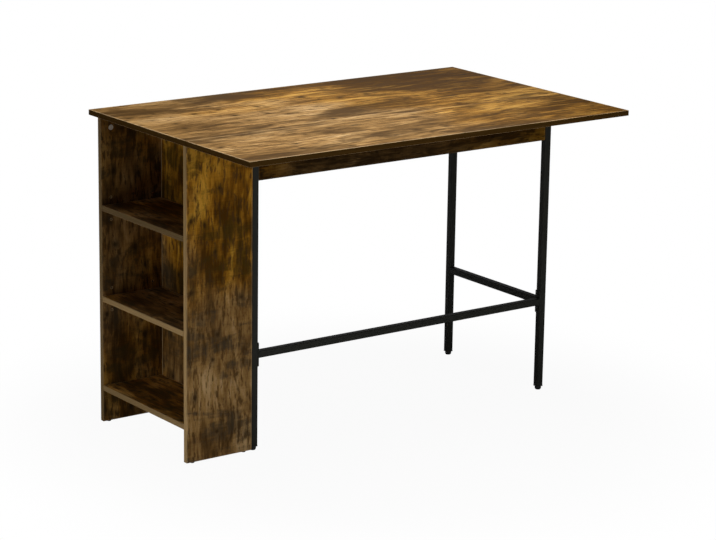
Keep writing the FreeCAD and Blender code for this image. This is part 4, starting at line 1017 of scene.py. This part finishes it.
class TABLE_OT_boards(bpy.types.Operator):
    """Dress every board in its print and its edge band"""

    bl_idname = "table.boards"
    bl_label = "Boards"

    def execute(self, context):
        for node in BOARDS:
            dress(node, BoardPrint(node, context.scene.table_wood).material())
        return {"FINISHED"}


class TABLE_OT_frame(bpy.types.Operator):
    """Dress the tubes, plates, tabs and arms in black powder coat"""

    bl_idname = "table.frame"
    bl_label = "Steel frame"

    def execute(self, context):
        dress_slot("black_steel", "black")
        return {"FINISHED"}


class TABLE_OT_fittings(bpy.types.Operator):
    """Dress hinges, braces, bolts, cams, dowels, feet and nuts"""

    bl_idname = "table.fittings"
    bl_label = "Fittings"

    def execute(self, context):
        for slot, finish in (("zinc_steel", "zinc"), ("black_plastic", "plastic"), ("beech", "beech")):
            dress_slot(slot, finish)
        return {"FINISHED"}


class TABLE_OT_screws(bpy.types.Operator):
    """Put screws with a cross recess in place of the plain ones"""

    bl_idname = "table.screws"
    bl_label = "Screws"

    def execute(self, context):
        settings = context.scene.table_screws
        trees = {sunk: screw_tree(sunk) for sunk in (False, True)}
        for node, (body, finish, sunk) in SCREWS.items():
            seats, ways, sizes = zip(*(screw_facts(places) for places in solids_of(node)))
            start = point_mesh(node, seats, ways)
            piece = grown("%s_recessed" % node, start, trees[sunk], settings, {
                **sizes[0],
                "Recess length": sizes[0]["Head radius"] * 2 * settings.recess_share,
                "Material": finish_of(finish),
            })
            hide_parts(node)
            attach(piece, body)
        return {"FINISHED"}


class TABLE_OT_welds(bpy.types.Operator):
    """Run a weld seam round each welded rail's ends"""

    bl_idname = "table.welds"
    bl_label = "Weld seams"

    def execute(self, context):
        settings = context.scene.table_welds
        places = []
        edges = []
        for node in WELDED_RAILS:
            for loop in end_loops(node, settings.bead_radius * settings.inset_share):
                first, count = len(places), len(loop)
                places += loop
                edges += [(first + step, first + (step + 1) % count) for step in range(count)]
        start = bpy.data.meshes.new("weld paths")
        start.from_pydata(places, edges, [])
        piece = grown("weld_seams", start, weld_tree(), settings, {"Material": finish_of("black")})
        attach(piece, "base")
        return {"FINISHED"}


class TABLE_OT_studio(bpy.types.Operator):
    """Make the floor, the lamps, the world and the camera"""

    bl_idname = "table.studio"
    bl_label = "Studio"

    def execute(self, context):
        settings = context.scene.table_studio
        make_floor(settings)
        make_world(settings)
        for lamp in LAMPS:
            make_lamp(lamp, getattr(settings, lamp.power))
        make_camera(settings)
        context.scene.view_settings.view_transform = "Standard"
        return {"FINISHED"}


# Studio

def make_floor(settings):
    """A pale floor that the camera sees near white and that keeps the object's shadow."""
    graph = new_surface("Pale floor")
    place = graph.object_place()
    parts = graph.parts(place)
    faint = graph.noise(place, scale=3.0)
    colour = graph.mix(faint, shaded(settings.floor, share=0.985), settings.floor)
    matte = graph.node("ShaderNodeBsdfDiffuse", {"Color": colour})["BSDF"]
    white = graph.node("ShaderNodeEmission", {"Color": WHITE, "Strength": 1.0})["Emission"]
    distance = (parts["x"] * parts["x"] + parts["y"] * parts["y"]).root()
    outer = distance.between(settings.shadow_reach / 2, settings.shadow_reach)
    cover = graph.seen_directly() * (outer * (1.0 - settings.floor_white) + settings.floor_white)
    material = graph.close("ShaderNodeOutputMaterial", graph.mix_shaders(cover, matte, white))
    mesh = bpy.data.meshes.new("Floor")
    corners = [(FLOOR_HALF * x, FLOOR_HALF * y, 0) for x, y in ((-1, -1), (1, -1), (1, 1), (-1, 1))]
    mesh.from_pydata(corners, [], [(0, 1, 2, 3)])
    mesh.materials.append(material)
    floor = added("Floor", mesh)
    floor.location.z = CAD_LOW.z


def make_world(settings):
    """Dim even light that the camera sees as plain white."""
    world = bpy.data.worlds.new("Studio")
    bpy.context.scene.world = world
    graph = Surface(world)
    dim, white = (
        graph.node("ShaderNodeBackground", {"Color": WHITE, "Strength": strength})["Background"]
        for strength in (settings.ambient, 1.0)
    )
    graph.close("ShaderNodeOutputWorld", graph.mix_shaders(graph.seen_directly(), dim, white))


def make_lamp(lamp, power):
    """A square area lamp that looks at its target and isn't seen itself."""
    data = bpy.data.lights.new(lamp.name, "AREA")
    data.shape = "SQUARE"
    data.size = lamp.width
    data.energy = power
    made = added(lamp.name, data)
    made.location = lamp.place
    ahead = Vector(lamp.target) - Vector(lamp.place)
    made.rotation_euler = ahead.to_track_quat("-Z", "Y").to_euler()
    made.visible_camera = False


def make_camera(settings):
    """The photograph's viewpoint, from its yaw, pitch, roll and focal length."""
    turn = (
        Matrix.Rotation(-settings.camera_yaw, 4, "Z")
        @ Matrix.Rotation(math.pi / 2 - settings.camera_pitch, 4, "X")
        @ Matrix.Rotation(settings.camera_roll, 4, "Z")
    )
    data = bpy.data.cameras.new("Camera")
    data.lens = settings.focal_pixels / settings.image_width * data.sensor_width
    camera = added("Camera", data)
    camera.matrix_world = Matrix.Translation(settings.camera_place) @ turn
    bpy.context.scene.camera = camera


# Panel and registration

SETTINGS = (
    ("table_wood", WoodSettings),
    ("table_metal", MetalSettings),
    ("table_screws", ScrewSettings),
    ("table_welds", WeldSettings),
    ("table_studio", StudioSettings),
)
OPERATORS = (
    TABLE_OT_boards, TABLE_OT_frame, TABLE_OT_fittings, TABLE_OT_screws, TABLE_OT_welds, TABLE_OT_studio,
)


class TABLE_PT_sidebar(bpy.types.Panel):
    """Lists the pieces' operators and their settings"""

    bl_idname = "TABLE_PT_sidebar"
    bl_label = "Folding bar table"
    bl_space_type = "VIEW_3D"
    bl_region_type = "UI"
    bl_category = "Bar Table"

    def draw(self, context):
        for operator in OPERATORS:
            self.layout.operator(operator.bl_idname)
        for name, group in SETTINGS:
            box = self.layout.box()
            box.label(text=group.__doc__)
            for key in group.__annotations__:
                box.prop(getattr(context.scene, name), key)


def register():
    for name, group in SETTINGS:
        bpy.utils.register_class(group)
        setattr(bpy.types.Scene, name, PointerProperty(type=group))
    for item in OPERATORS + (TABLE_PT_sidebar,):
        bpy.utils.register_class(item)


def unregister():
    for item in (TABLE_PT_sidebar,) + OPERATORS[::-1]:
        bpy.utils.unregister_class(item)
    for name, group in SETTINGS[::-1]:
        delattr(bpy.types.Scene, name)
        bpy.utils.unregister_class(group)


def main():
    register()
    for step in (
        bpy.ops.table.boards, bpy.ops.table.frame, bpy.ops.table.fittings,
        bpy.ops.table.screws, bpy.ops.table.welds, bpy.ops.table.studio,
    ):
        step()


if __name__ == "__main__":
    main()
